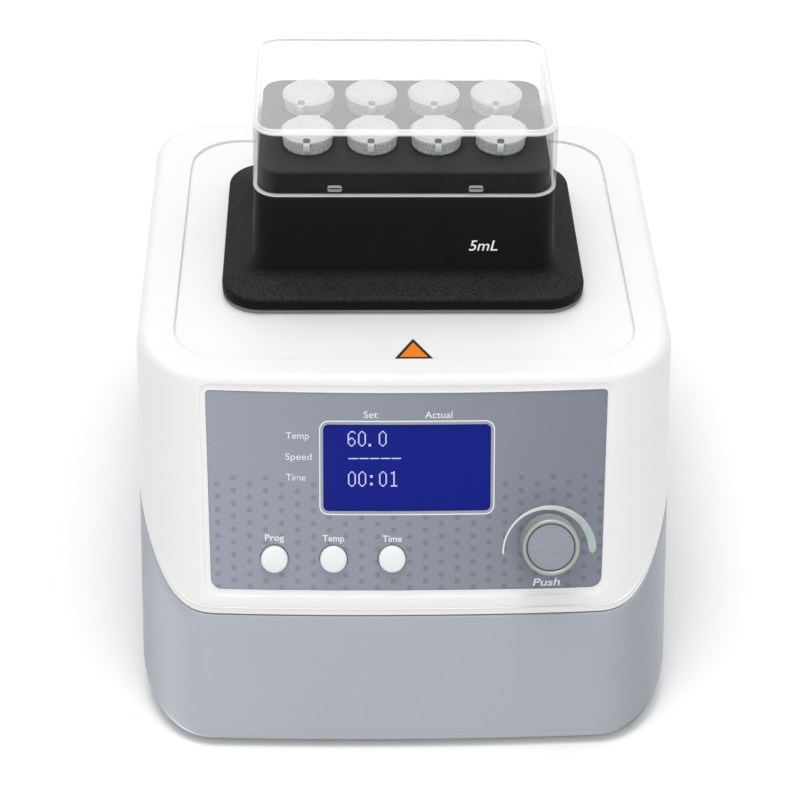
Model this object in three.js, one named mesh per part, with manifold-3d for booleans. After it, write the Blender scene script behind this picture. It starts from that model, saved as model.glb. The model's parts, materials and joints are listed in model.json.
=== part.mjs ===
// Dry block heater: a two-part moulded housing with a sloping control panel, an interchangeable
// eight-well tube block under a clear lid, eight snap-cap tubes, and the parts that heat and drive it.
// Millimetres, +Z up, +X to the operator's right, the operator stands at -Y.
// The origin is on the bench, under the middle of the heater's footprint.
import * as THREE from "three";
import { mergeVertices } from "three/addons/utils/BufferGeometryUtils.js";
import Module from "manifold-3d";

const wasm = await Module();
wasm.setup();

// ---------------------------------------------------------------- driving dimensions

const GAP = 0.3; // clearance left between two pieces that touch

// Housing
const BASE_Z = 3; // underside of the housing, on top of the feet
const TOP_Z = 120;
const TOP_HALF_WIDTH = 100;
const BACK_FLARE = 1.5; // the sides stand this much further out at the back
const BASE_HALF_WIDTH = 99.2;
const FRONT_TOP_Y = -58.4; // edge between the flat top and the sloping front
const FRONT_TILT = THREE.MathUtils.degToRad(30); // front face from the vertical
const BACK_Y = 123.7;
const WALL = 2.6;
const FRONT_BOW = 2.8e-4; // the front bulges: y falls back by FRONT_BOW * x * x
const FRONT_CORNER = { x: 29, y: 33 };
const BACK_CORNER = 23;
const TOP_ROUND = 6;
const SIDE_ROUND = 10; // bottom edge along the sides
const FRONT_ROUND = 0.8;
const BACK_ROUND = 4;
const TOP_WALL_Z = 116; // underside of the top wall

// Parting line between the two housings, seen from the side
const PARTING = { level: 76, slope: 0.74, bend: 10, y: -59, gap: 0.5 };

// Shallow recess in the top, and the opening that the block sits over
const RECESS = { halfX: 85.7, halfY: 77.3, y: 30.8, round: 20, floor: 118.5 };
const SEAT = { y: 32.3, halfX: 58, halfY: 38, round: 6 };

// Block
const FLANGE = { halfX: 68.9, halfY: 49.2, round: 15, bottom: 120.2 };
const DECK_Z = 171.9;
const DECK_UNDER_Z = 167.7;
const SHOULDER_Z = 162;
const WELL_PITCH_X = 24;
const WELL_PITCH_Y = 27.7;
const WELL_RADIUS = 8.7;
const BLOCK_BOTTOM_Z = 114;

// Lid
const LID = { bottom: SHOULDER_Z + GAP, top: 189.6, halfX: 56.3, halfY: 36.6, round: 9.5, draft: 0.7, wall: 1.5 };

// Control panel, in the frame of the front face: +X right, +Y up the slope, +Z out of the face
const PANEL = { halfX: 72.7, footHalfX: 71.4, top: -5.3, bottom: -78.4, round: 3, depth: 0.8 };
const WINDOW = { halfX: 31.4, top: -16.2, bottom: -50 };
const BUTTON_X = { prog: -48.3, temp: -26.8, time: -5.4 };
const BUTTON_Y = -66.6;
const BUTTON_RADIUS = 4.9;
const KNOB = { x: 51.45, y: -60.2, radius: 10.7, topRadius: 10.4, bottom: 1.9, top: 11.6 };
const KNOB_FLOOR = 8.2; // underside of the knob's end wall

// ---------------------------------------------------------------- solids and shapes

function solidOf(geometry) {
  const plain = geometry.index ? geometry.clone() : geometry;
  const bare = new THREE.BufferGeometry().setAttribute("position", plain.getAttribute("position"));
  if (plain.index) bare.setIndex(plain.index);
  const merged = mergeVertices(bare, 1e-4);
  return new wasm.Manifold(
    new wasm.Mesh({
      numProp: 3,
      vertProperties: new Float32Array(merged.attributes.position.array),
      triVerts: new Uint32Array(merged.index.array),
    }),
  );
}

function geometryOf(solid) {
  const mesh = solid.getMesh();
  const flat = new THREE.BufferGeometry();
  flat.setAttribute("position", new THREE.BufferAttribute(new Float32Array(mesh.vertProperties), 3));
  flat.setIndex(new THREE.BufferAttribute(new Uint32Array(mesh.triVerts), 1));
  flat.computeVertexNormals();
  return flat;
}

const cut = (solid, ...tools) => tools.reduce((rest, tool) => rest.subtract(tool), solid);
const join = (solid, ...others) => others.reduce((sum, other) => sum.add(other), solid);

function roundedRectangle(halfX, halfY, radius, centreX = 0, centreY = 0) {
  const shape = new THREE.Shape();
  const [left, right] = [centreX - halfX, centreX + halfX];
  const [low, high] = [centreY - halfY, centreY + halfY];
  shape.moveTo(left + radius, low);
  shape.lineTo(right - radius, low);
  shape.absarc(right - radius, low + radius, radius, -Math.PI / 2, 0);
  shape.lineTo(right, high - radius);
  shape.absarc(right - radius, high - radius, radius, 0, Math.PI / 2);
  shape.lineTo(left + radius, high);
  shape.absarc(left + radius, high - radius, radius, Math.PI / 2, Math.PI);
  shape.lineTo(left, low + radius);
  shape.absarc(left + radius, low + radius, radius, Math.PI, 1.5 * Math.PI);
  return shape;
}

// A shape pushed up from z = low to z = high.
function prism(shape, low, high, curveSegments = 5) {
  const made = new THREE.ExtrudeGeometry(shape, { depth: high - low, bevelEnabled: false, curveSegments });
  return made.translate(0, 0, low);
}

function box(halfX, halfY, low, high, x = 0, y = 0) {
  return new THREE.BoxGeometry(2 * halfX, 2 * halfY, high - low).translate(x, y, (low + high) / 2);
}

// A round bar along Z from low to high.
function rod(radius, low, high, x = 0, y = 0, segments = 20) {
  const bar = new THREE.CylinderGeometry(radius, radius, high - low, segments);
  return bar.rotateX(Math.PI / 2).translate(x, y, (low + high) / 2);
}

// A profile of [radius, z] pairs turned around the Z axis; it starts and ends on the axis.
function turned(profile, segments = 16) {
  const points = profile.map(([radius, z]) => new THREE.Vector2(radius, z));
  return new THREE.LatheGeometry(points, segments).rotateX(Math.PI / 2);
}

// An outline in the Y-Z plane, carried along X from x = low to x = high.
function alongX(shape, low, high, curveSegments = 5) {
  const made = prism(shape, low, high, curveSegments);
  const axes = new THREE.Matrix4().makeBasis(
    new THREE.Vector3(0, 1, 0),
    new THREE.Vector3(0, 0, 1),
    new THREE.Vector3(1, 0, 0),
  );
  return made.applyMatrix4(axes);
}

// A closed skin over rings of the same number of points, the lowest ring first.
function loft(rings) {
  const count = rings[0].length;
  const positions = rings.flat().flatMap((p) => [p.x, p.y, p.z]);
  const index = [];
  for (let level = 0; level + 1 < rings.length; level++) {
    for (let i = 0; i < count; i++) {
      const [a, b] = [level * count + i, level * count + ((i + 1) % count)];
      index.push(a, b, b + count, a, b + count, a + count);
    }
  }
  const lid = THREE.ShapeUtils.triangulateShape(rings[0].map((p) => new THREE.Vector2(p.x, p.y)), []);
  const last = (rings.length - 1) * count;
  for (const [a, b, c] of lid) index.push(a, c, b, last + a, last + b, last + c);
  const made = new THREE.BufferGeometry();
  made.setAttribute("position", new THREE.Float32BufferAttribute(positions, 3));
  made.setIndex(index);
  return made;
}

// Points of a quarter ellipse about (x, y), starting at the angle given.
function cornerPoints(x, y, radiusX, radiusY, start, steps) {
  return Array.from({ length: steps + 1 }, (_, i) => {
    const angle = start + (i / steps) * (Math.PI / 2);
    return [x + radiusX * Math.cos(angle), y + radiusY * Math.sin(angle)];
  });
}

// A rounded rectangle as a ring of points at height z.
function rectangleRing(halfX, halfY, radius, z, y = 0, steps = 4) {
  const [cx, cy] = [halfX - radius, halfY - radius];
  const turn = Math.PI / 2;
  return [
    ...cornerPoints(cx, y - cy, radius, radius, -turn, steps),
    ...cornerPoints(cx, y + cy, radius, radius, 0, steps),
    ...cornerPoints(-cx, y + cy, radius, radius, turn, steps),
    ...cornerPoints(-cx, y - cy, radius, radius, 2 * turn, steps),
  ].map(([px, py]) => new THREE.Vector3(px, py, z));
}

// ---------------------------------------------------------------- the housing's outer form

// How far an edge rounded by this radius has drawn in, at a distance from its start.
const roundIn = (radius, distance) =>
  distance >= radius ? 0 : radius - Math.sqrt(radius ** 2 - (radius - distance) ** 2);

const frontY = (z) => FRONT_TOP_Y - (TOP_Z - z) * Math.tan(FRONT_TILT);

// The housing's outline at height z, drawn in everywhere by inset.
function housingRing(z, inset = 0, rounded = true) {
  const share = (z - BASE_Z) / (TOP_Z - BASE_Z);
  const top = rounded ? roundIn(TOP_ROUND, TOP_Z - z) : 0;
  const lower = (radius) => (rounded ? roundIn(radius, z - BASE_Z) : 0);
  const half = THREE.MathUtils.lerp(BASE_HALF_WIDTH, TOP_HALF_WIDTH, share) - inset - top - lower(SIDE_ROUND);
  const front = frontY(z) + (inset + top + lower(FRONT_ROUND)) / Math.cos(FRONT_TILT);
  const back = BACK_Y - inset - top - lower(BACK_ROUND);
  const [rx, ry] = [FRONT_CORNER.x - inset, FRONT_CORNER.y - inset];
  const rb = BACK_CORNER - inset;
  const bowX = half - rx;
  const bow = Array.from({ length: 5 }, (_, i) => bowX * (-0.75 + i * 0.375));
  const turn = Math.PI / 2;
  const bowed = ([x, y]) => [x, y + FRONT_BOW * x * x]; // the bulge carries on round the front corners
  return [
    ...bow.map((x) => bowed([x, front])),
    ...cornerPoints(bowX, front + ry, rx, ry, -turn, 6).map(bowed),
    ...cornerPoints(half + BACK_FLARE - rb, back - rb, rb, rb, 0, 4),
    ...cornerPoints(-half - BACK_FLARE + rb, back - rb, rb, rb, turn, 4),
    ...cornerPoints(-bowX, front + ry, rx, ry, 2 * turn, 6).map(bowed),
  ].map(([x, y]) => new THREE.Vector3(x, y, z));
}

const OUTER_LEVELS = [3, 3.8, 5.5, 8.5, 13, 114, 117.2, 119.2, 120];
const outerForm = () => solidOf(loft(OUTER_LEVELS.map((z) => housingRing(z))));

function innerForm() {
  const floor = BASE_Z + WALL;
  const levels = [floor, floor + 3.5, floor + 9, TOP_WALL_Z];
  const sideRound = [8, 3, 0, 0];
  return solidOf(loft(levels.map((z, i) => housingRing(z, WALL + sideRound[i] * 0.4, false))));
}

const partingZ = (y) =>
  PARTING.level - PARTING.slope * PARTING.bend * Math.log1p(Math.exp((PARTING.y - y) / PARTING.bend));

// Everything below the parting line (side = -1) or above it (side = 1).
function partingSide(side) {
  const shape = new THREE.Shape();
  const [far, end] = [160, side > 0 ? 200 : -20];
  shape.moveTo(-far, end);
  for (let y = -130; y <= -10; y += 10) shape.lineTo(y, partingZ(y) + (side * PARTING.gap) / 2);
  shape.lineTo(far, partingZ(far) + (side * PARTING.gap) / 2);
  shape.lineTo(far, end);
  return solidOf(alongX(shape, -far, far));
}

// ---------------------------------------------------------------- frames and materials

const heater = new THREE.Group();

// The front face: origin on its top edge, +Y up the slope, +Z out of the face.
const panelFrame = new THREE.Group();
panelFrame.position.set(0, FRONT_TOP_Y, TOP_Z);
panelFrame.rotation.x = Math.PI / 2 - FRONT_TILT;
panelFrame.updateMatrix();
heater.add(panelFrame);
const onPanel = (geometry) => geometry.applyMatrix4(panelFrame.matrix);

const finish = (color, roughness, metalness = 0, extra = {}) =>
  new THREE.MeshStandardMaterial({ color, roughness, metalness, ...extra });
const whitePlastic = finish(0xf4f4f4, 0.4);
const greyPaint = finish(0xaeb4bc, 0.35, 0.3);
const blackPlastic = finish(0x161616, 0.6);
const panelGrey = finish(0x8b909c, 0.5);
const rubber = finish(0x202020, 0.9);
const greyRubber = finish(0x77797b, 0.8);
const aluminium = finish(0xb9bcc0, 0.35, 0.9);
const steel = finish(0xc4c7ca, 0.3, 1);
const circuitBoard = finish(0x1c6b3a, 0.6);
const clear = finish(0xf2f5f6, 0.05, 0, { transparent: true, opacity: 0.3 });
const tubePlastic = finish(0xf0f2f3, 0.35, 0, { transparent: true, opacity: 0.8 });

function add(name, geometry, material, parent = heater) {
  const mesh = new THREE.Mesh(geometry, material);
  mesh.name = name;
  parent.add(mesh);
  return mesh;
}

// ---------------------------------------------------------------- housings

const SCREW_POSTS = [
  [-76, -81],
  [76, -81],
  [-80, 100],
  [80, 100],
];
const POST_SPLIT_Z = 54;

const FOOT_STEM_TOP = 12;
const REAR = { inletX: -48, switchX: -4, z: 36 }; // middles of the mains inlet and of the switch

function lowerHousing() {
  const outer = outerForm();
  const posts = SCREW_POSTS.map(([x, y]) => solidOf(rod(5.5, BASE_Z + 1, POST_SPLIT_Z - GAP / 2, x, y, 16)));
  const boardPosts = BOARD_POSTS.map(([x, y]) => solidOf(rod(3.5, BASE_Z + 1, BOARD_Z - GAP, x, y, 10)));
  const walls = outer.subtract(innerForm());
  const body = join(walls, ...posts, ...boardPosts).intersect(outer).intersect(partingSide(-1));
  const counterbores = SCREW_POSTS.map(([x, y]) => solidOf(rod(3.4, 0, 47, x, y, 16)));
  const screwHoles = SCREW_POSTS.map(([x, y]) => solidOf(rod(1.9, 0, 60, x, y, 10)));
  const inletHole = solidOf(box(23.5, 10, REAR.z - 12.5, REAR.z + 12.5, REAR.inletX, BACK_Y));
  const switchHole = solidOf(box(9.8, 10, REAR.z - 7, REAR.z + 7, REAR.switchX, BACK_Y));
  const slots = [];
  for (let i = 0; i < 6; i++) slots.push(solidOf(box(1.5, 10, REAR.z - 12, REAR.z + 12, 32 + i * 7, BACK_Y)));
  const floorSlots = [];
  for (let i = 0; i < 6; i++) floorSlots.push(solidOf(box(25, 1.6, 0, 12, 0, -70 + i * 8)));
  return geometryOf(
    cut(body, ...counterbores, ...screwHoles, inletHole, switchHole, ...slots, ...floorSlots),
  );
}

// A slab that follows the bowed front face, from low to high above it, in the panel's frame.
function bowedSlab(low, high, halfX, bottom, top) {
  const fall = FRONT_BOW * Math.cos(FRONT_TILT);
  const across = Array.from({ length: 9 }, (_, i) => halfX * (i / 4 - 1));
  const edge = (height) => across.map((x) => new THREE.Vector2(x, height - fall * x * x));
  const shape = new THREE.Shape([...edge(low), ...edge(high).reverse()]);
  const made = prism(shape, 0, top - bottom);
  return made.rotateX(Math.PI / 2).translate(0, top, 0);
}

const panelMiddle = (PANEL.top + PANEL.bottom) / 2;
const windowMiddle = (WINDOW.top + WINDOW.bottom) / 2;
const windowHalfY = (WINDOW.top - WINDOW.bottom) / 2;

// The panel's outline, grown all round by a margin.
function panelOutline(margin) {
  const [top, foot] = [PANEL.halfX + margin, PANEL.footHalfX + margin];
  const [high, low, r] = [PANEL.top + margin, PANEL.bottom - margin, PANEL.round];
  const shape = new THREE.Shape();
  shape.moveTo(-foot + r, low);
  shape.lineTo(foot - r, low);
  shape.quadraticCurveTo(foot, low, foot + 0.02 * r, low + r);
  shape.lineTo(top - 0.01, high - 1);
  shape.lineTo(top - 1, high);
  shape.lineTo(-top + 1, high);
  shape.lineTo(-top + 0.01, high - 1);
  shape.lineTo(-foot - 0.02 * r, low + r);
  shape.quadraticCurveTo(-foot, low, -foot + r, low);
  return shape;
}

function upperHousing() {
  const outer = outerForm();
  const posts = SCREW_POSTS.map(([x, y]) => solidOf(rod(5, POST_SPLIT_Z + GAP / 2, TOP_WALL_Z + 1, x, y, 16)));
  const shell = outer.subtract(innerForm()).intersect(partingSide(1));
  const body = join(shell, ...posts).intersect(outer);
  const pilots = SCREW_POSTS.map(([x, y]) => solidOf(rod(1.75, 40, 70, x, y, 10)));
  const recess = solidOf(
    prism(roundedRectangle(RECESS.halfX, RECESS.halfY, RECESS.round, 0, RECESS.y), RECESS.floor, 130, 6),
  );
  const seat = solidOf(prism(roundedRectangle(SEAT.halfX, SEAT.halfY, SEAT.round, 0, SEAT.y), 110, 130, 3));
  const sheet = bowedSlab(-PANEL.depth, 5, PANEL.halfX + 0.3, PANEL.bottom - 0.3, PANEL.top + 0.3);
  const outline = prism(panelOutline(0.3), -8, 8, 3);
  const panelRecess = solidOf(onPanel(sheet)).intersect(solidOf(onPanel(outline)));
  const window = prism(roundedRectangle(WINDOW.halfX + 0.4, windowHalfY + 0.4, 2, 0, windowMiddle), -9, 9, 2);
  const buttonHoles = Object.values(BUTTON_X).map((x) =>
    solidOf(onPanel(rod(BUTTON_RADIUS + 0.4, -9, 9, x, BUTTON_Y, 20))),
  );
  const knobHole = solidOf(onPanel(rod(4, -9, 9, KNOB.x, KNOB.y, 16)));
  return geometryOf(cut(body, ...pilots, recess, seat, panelRecess, solidOf(onPanel(window)), ...buttonHoles, knobHole));
}

// ---------------------------------------------------------------- panel parts (in the panel's frame)

function overlay() {
  const sheet = solidOf(bowedSlab(-0.5, 0, PANEL.halfX, PANEL.bottom, PANEL.top));
  const outline = solidOf(prism(panelOutline(0), -8, 8, 3));
  const window = solidOf(prism(roundedRectangle(WINDOW.halfX, windowHalfY, 2, 0, windowMiddle), -9, 9, 3));
  const holes = Object.values(BUTTON_X).map((x) => solidOf(rod(BUTTON_RADIUS + 0.3, -9, 9, x, BUTTON_Y, 20)));
  const knobHole = solidOf(rod(4, -9, 9, KNOB.x, KNOB.y, 16));
  return geometryOf(cut(sheet.intersect(outline), window, ...holes, knobHole));
}

function pushButton(x) {
  const face = -FRONT_BOW * Math.cos(FRONT_TILT) * x * x; // the panel's surface at this button
  const profile = [
    [0, -4.4],
    [2.2, -4.4],
    [2.2, -4],
    [6.2, -4],
    [6.2, -2.9],
    [BUTTON_RADIUS, -2.9],
    [BUTTON_RADIUS, 1.0],
    [BUTTON_RADIUS - 0.5, 1.45],
    [BUTTON_RADIUS - 1.6, 1.6],
    [0, 1.7],
  ];
  return turned(profile, 18).translate(x, BUTTON_Y, face);
}

const BOARD_FACE = -10.6; // front of the display board
const SWITCH_TOP = -6.3;

function panelParts() {
  add("panel_overlay", overlay(), panelGrey, panelFrame);
  add("display_lens", box(WINDOW.halfX - GAP, windowHalfY - GAP, -2.3, -1.1, 0, windowMiddle), clear, panelFrame);
  const glass = box(35, 21, BOARD_FACE + GAP, -3.9, 0, windowMiddle);
  add("lcd_module", glass, finish(0x1a2590, 0.4), panelFrame);
  const board = solidOf(box(70, 36, BOARD_FACE - 1.6, BOARD_FACE, 0, panelMiddle - 1));
  add("display_board", geometryOf(board), circuitBoard, panelFrame);
  for (const [name, x] of Object.entries(BUTTON_X)) {
    const base = solidOf(box(3, 3, BOARD_FACE + GAP, SWITCH_TOP - 0.8, x, BUTTON_Y));
    const tip = solidOf(rod(1.7, SWITCH_TOP - 1.2, SWITCH_TOP, x, BUTTON_Y, 10));
    add(`switch_${name}`, geometryOf(base.add(tip)), blackPlastic, panelFrame);
    add(`button_${name}`, pushButton(x), whitePlastic, panelFrame);
  }
}

function knobParts() {
  const at = (geometry) => geometry.translate(KNOB.x, KNOB.y, 0);
  const can = solidOf(box(6.5, 6.5, BOARD_FACE + GAP, -3.7));
  const bush = solidOf(rod(3.6, -4.2, 1.2, 0, 0, 16));
  const bore = solidOf(rod(2.95, -6, 3, 0, 0, 16));
  const chamber = solidOf(rod(4, -11, -5.6, 0, 0, 16));
  add("encoder_body", at(geometryOf(cut(can.add(bush), bore, chamber))), steel, panelFrame);
  add("encoder_plunger", at(rod(2.6, -9.3, -8.4, 0, 0, 12)), blackPlastic, panelFrame);
  const shaft = [
    [0, -8.1],
    [3.4, -8.1],
    [3.4, -7.1],
    [2.6, -7.1],
    [2.6, KNOB_FLOOR],
    [0, KNOB_FLOOR],
  ];
  add("encoder_shaft", at(turned(shaft, 16)), steel, panelFrame);
  const { radius, topRadius, bottom, top } = KNOB;
  const shell = [
    [0, KNOB_FLOOR + GAP],
    [2.9, KNOB_FLOOR + GAP],
    [2.9, 3.4],
    [4.4, 3.4],
    [4.4, KNOB_FLOOR],
    [topRadius - 1.6, KNOB_FLOOR],
    [radius - 1.6, bottom],
    [radius - 0.4, bottom],
    [radius, bottom + 0.5],
    [topRadius, top - 1],
    [topRadius - 0.2, top - 0.3],
    [topRadius - 0.6, top],
    [topRadius - 1, top - 0.1],
    [topRadius - 1.3, top - 0.6],
    [topRadius - 1.3, top - 1.5],
    [0, top - 1.5],
  ];
  add("knob", at(turned(shell, 24)), finish(0x9a9da2, 0.4, 0.6), panelFrame);
  const disc = rod(topRadius - 1.6, top - 1.25, top - 0.6, 0, 0, 28);
  add("knob_insert", at(disc), finish(0x8e9499, 0.8), panelFrame);
}

// ---------------------------------------------------------------- heating parts

function heatingParts() {
  const { y } = SEAT;
  const frameTop = TOP_WALL_Z - GAP;
  const carrierWalls = solidOf(prism(roundedRectangle(62, 42, 8, 0, y), 82, frameTop, 2));
  const carrierFlange = solidOf(prism(roundedRectangle(69, 49, 8, 0, y), frameTop - 3, frameTop, 2));
  const carrierHollow = solidOf(prism(roundedRectangle(59, 39, 6, 0, y), 84.5, 140, 2));
  add("plate_carrier", geometryOf(cut(carrierWalls.add(carrierFlange), carrierHollow)), finish(0x2a2a2a, 0.7));

  const cutoutPocket = solidOf(rod(9, 88, 110, 0, y, 14));
  const insulation = solidOf(prism(roundedRectangle(58.5, 38.5, 5.5, 0, y), 84.8, 103.9, 2));
  add("insulation_pad", geometryOf(insulation.subtract(cutoutPocket)), finish(0xd8d2c4, 0.95));
  add("thermal_cutout", rod(8, 93, 103.9, 0, y, 14), steel);
  add("heater_film", prism(roundedRectangle(52, 32, 4, 0, y), 104.2, 105.4, 2), finish(0xc07a2c, 0.5));

  const plate = solidOf(prism(roundedRectangle(56, 36, 5, 0, y), 105.7, BLOCK_BOTTOM_Z - GAP, 2));
  const sensorBore = solidOf(
    new THREE.CylinderGeometry(2.3, 2.3, 30, 12).translate(30, y + 36, 109.7),
  );
  add("heating_plate", geometryOf(plate.subtract(sensorBore)), aluminium);
  add("temperature_sensor", new THREE.CylinderGeometry(2, 2, 13.8, 12).translate(30, y + 29.5, 109.7), steel);

  const { halfX, halfY, round } = FLANGE;
  const sealOuter = solidOf(prism(roundedRectangle(halfX - 0.2, halfY - 0.2, round, 0, y), RECESS.floor + GAP / 2, FLANGE.bottom - GAP / 2));
  const sealHole = solidOf(prism(roundedRectangle(SEAT.halfX, SEAT.halfY, SEAT.round, 0, y), 100, 140, 3));
  add("seat_seal", geometryOf(sealOuter.subtract(sealHole)), greyRubber);
}

// ---------------------------------------------------------------- the interchangeable block

const WELLS = [];
for (const row of [-0.5, 0.5]) {
  for (const column of [-1.5, -0.5, 0.5, 1.5]) {
    WELLS.push([column * WELL_PITCH_X, SEAT.y + row * WELL_PITCH_Y]);
  }
}

function blockParts() {
  const { y } = SEAT;
  const { halfX, halfY, round, bottom } = FLANGE;
  // [half width, half depth, corner radius, height] from the flange's underside to the deck
  const sections = [
    [halfX - 0.5, halfY - 0.5, round - 0.5, bottom],
    [halfX, halfY, round, bottom + 0.6],
    [halfX, halfY, round, 124.2],
    [halfX - 0.9, halfY - 0.9, round - 0.9, 125],
    [61.6, 42, 12.5, 126.9],
    [58.8, 39.2, 10.8, 128.6],
    [57.5, 37.9, 10, 131.2],
    [55.8, 36.1, 9, SHOULDER_Z],
    [54.1, 34.8, 8.2, SHOULDER_Z],
    [53.9, 34.6, 8, 170.9],
    [53.5, 34.2, 7.6, 171.6],
    [52.6, 33.3, 6.8, DECK_Z],
  ];
  const skin = solidOf(loft(sections.map(([hx, hy, r, z]) => rectangleRing(hx, hy, r, z, y))));
  const hollow = solidOf(prism(roundedRectangle(50, 30, 5, 0, y), 100, DECK_UNDER_Z, 2));
  const deckHoles = WELLS.map(([wx, wy]) => solidOf(rod(WELL_RADIUS + 0.2, 150, 180, wx, wy, 16)));
  add("block_shroud", geometryOf(cut(skin, hollow, ...deckHoles)), blackPlastic);

  const metal = solidOf(prism(roundedRectangle(49.7, 29.7, 4.7, 0, y), BLOCK_BOTTOM_Z, DECK_UNDER_Z - GAP, 2));
  const wellProfile = [
    [0, 120.6],
    [2.6, 120.6],
    [WELL_RADIUS, 135.6],
    [WELL_RADIUS, 190],
    [0, 190],
  ];
  const wells = WELLS.map(([wx, wy]) => solidOf(turned(wellProfile, 14).translate(wx, wy, 0)));
  add("tube_block", geometryOf(cut(metal, ...wells)), aluminium);
}

// ---------------------------------------------------------------- tubes

const COLLAR_Z = DECK_Z + GAP;
const COLLAR_TOP_Z = 175.4;
const CAP_BOTTOM_Z = COLLAR_TOP_Z + GAP;
const CAP_TOP_Z = 178.7;
const HINGE = { halfX: 4.2, near: 8, far: 12.2 };

function tubeSolid() {
  const profile = [
    [0, 121.6],
    [1.8, 121.6],
    [8, 136.2],
    [8.3, COLLAR_Z],
    [9.5, COLLAR_Z],
    [9.5, COLLAR_TOP_Z],
    [7.4, COLLAR_TOP_Z],
    [7.1, 137],
    [1.1, 122.9],
    [0, 122.9],
  ];
  const tube = solidOf(turned(profile, 14));
  const lug = solidOf(box(HINGE.halfX, 1.95, COLLAR_TOP_Z - 1.4, COLLAR_TOP_Z, 0, 10.15));
  return tube.add(lug);
}

function capSolid() {
  const profile = [
    [0, 173.9],
    [6.5, 173.9],
    [6.7, CAP_BOTTOM_Z],
    [9.95, CAP_BOTTOM_Z],
    [9.95, CAP_TOP_Z - 0.5],
    [9.4, CAP_TOP_Z],
    [6.6, CAP_TOP_Z],
    [6.2, CAP_TOP_Z - 0.5],
    [0, CAP_TOP_Z - 0.5],
  ];
  const disc = solidOf(turned(profile, 16));
  const strap = solidOf(box(HINGE.halfX, 1.95, CAP_BOTTOM_Z, CAP_BOTTOM_Z + 1.2, 0, 10.15));
  const tab = solidOf(box(1.6, 1, CAP_BOTTOM_Z + 0.2, CAP_BOTTOM_Z + 1.9, 0, -10.4));
  return join(disc, strap, tab);
}

function tubes() {
  WELLS.forEach(([x, y], i) => {
    add(`tube_${i + 1}`, geometryOf(tubeSolid()), tubePlastic).position.set(x, y, 0);
    add(`tube_cap_${i + 1}`, geometryOf(capSolid()), tubePlastic).position.set(x, y, 0);
  });
}

// ---------------------------------------------------------------- clear lid

function clearLid() {
  const { bottom, top, halfX, halfY, round, draft, wall } = LID;
  const { y } = SEAT;
  const section = (inset, round_, z) => rectangleRing(halfX - inset, halfY - inset, round_, z, y);
  const outer = solidOf(
    loft([
      section(0, round, bottom),
      section(draft, round - 1, top - 2.3),
      section(draft + 0.7, round - 1.6, top - 0.7),
      section(draft + 2.3, round - 3, top),
    ]),
  );
  const inner = solidOf(
    loft([
      section(wall - 0.1, round - 1.8, bottom - 2),
      section(draft + wall, round - 2.6, top - 3.2),
      section(draft + wall + 1.2, round - 3.4, top - 2),
    ]),
  );
  const slots = [];
  for (const x of [-26, 26]) slots.push(solidOf(box(2.7, 60, bottom + 2.1, bottom + 4.3, x, y)));
  return geometryOf(cut(outer, inner, ...slots));
}

// ---------------------------------------------------------------- electronics and rear panel

const BOARD_Z = 14;
const BOARD_POSTS = [
  [-58, 22],
  [58, 22],
  [-58, 86],
  [58, 86],
];

function electronics() {
  add("power_board", box(66, 38, BOARD_Z, BOARD_Z + 1.6, 0, 54), circuitBoard);
  const core = solidOf(box(22, 17, BOARD_Z + 1.9, BOARD_Z + 34, -30, 48));
  const winding = solidOf(box(16, 22, BOARD_Z + 6, BOARD_Z + 30, -30, 48));
  add("transformer", geometryOf(core.add(winding)), finish(0xb08a4a, 0.6, 0.4));
  const fins = [];
  for (let i = 0; i < 4; i++) fins.push(solidOf(box(16, 1, BOARD_Z + 5, BOARD_Z + 24, 42, 42 + i * 6)));
  const root = solidOf(box(16, 11, BOARD_Z + 1.9, BOARD_Z + 5.5, 42, 51));
  add("heat_sink", geometryOf(join(root, ...fins)), aluminium);

  // Flat cable from the display board to the power board
  const route = new THREE.CatmullRomCurve3([
    new THREE.Vector3(0, -66, 58),
    new THREE.Vector3(0, -50, 46),
    new THREE.Vector3(0, -28, 26),
    new THREE.Vector3(0, -2, 19),
    new THREE.Vector3(0, 14, 19),
  ]);
  const strip = new THREE.Shape();
  strip.moveTo(-9, -0.5);
  strip.lineTo(9, -0.5);
  strip.lineTo(9, 0.5);
  strip.lineTo(-9, 0.5);
  const ribbon = new THREE.ExtrudeGeometry(strip, { steps: 12, bevelEnabled: false, extrudePath: route });
  add("ribbon_cable", ribbon, greyRubber);
}

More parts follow.
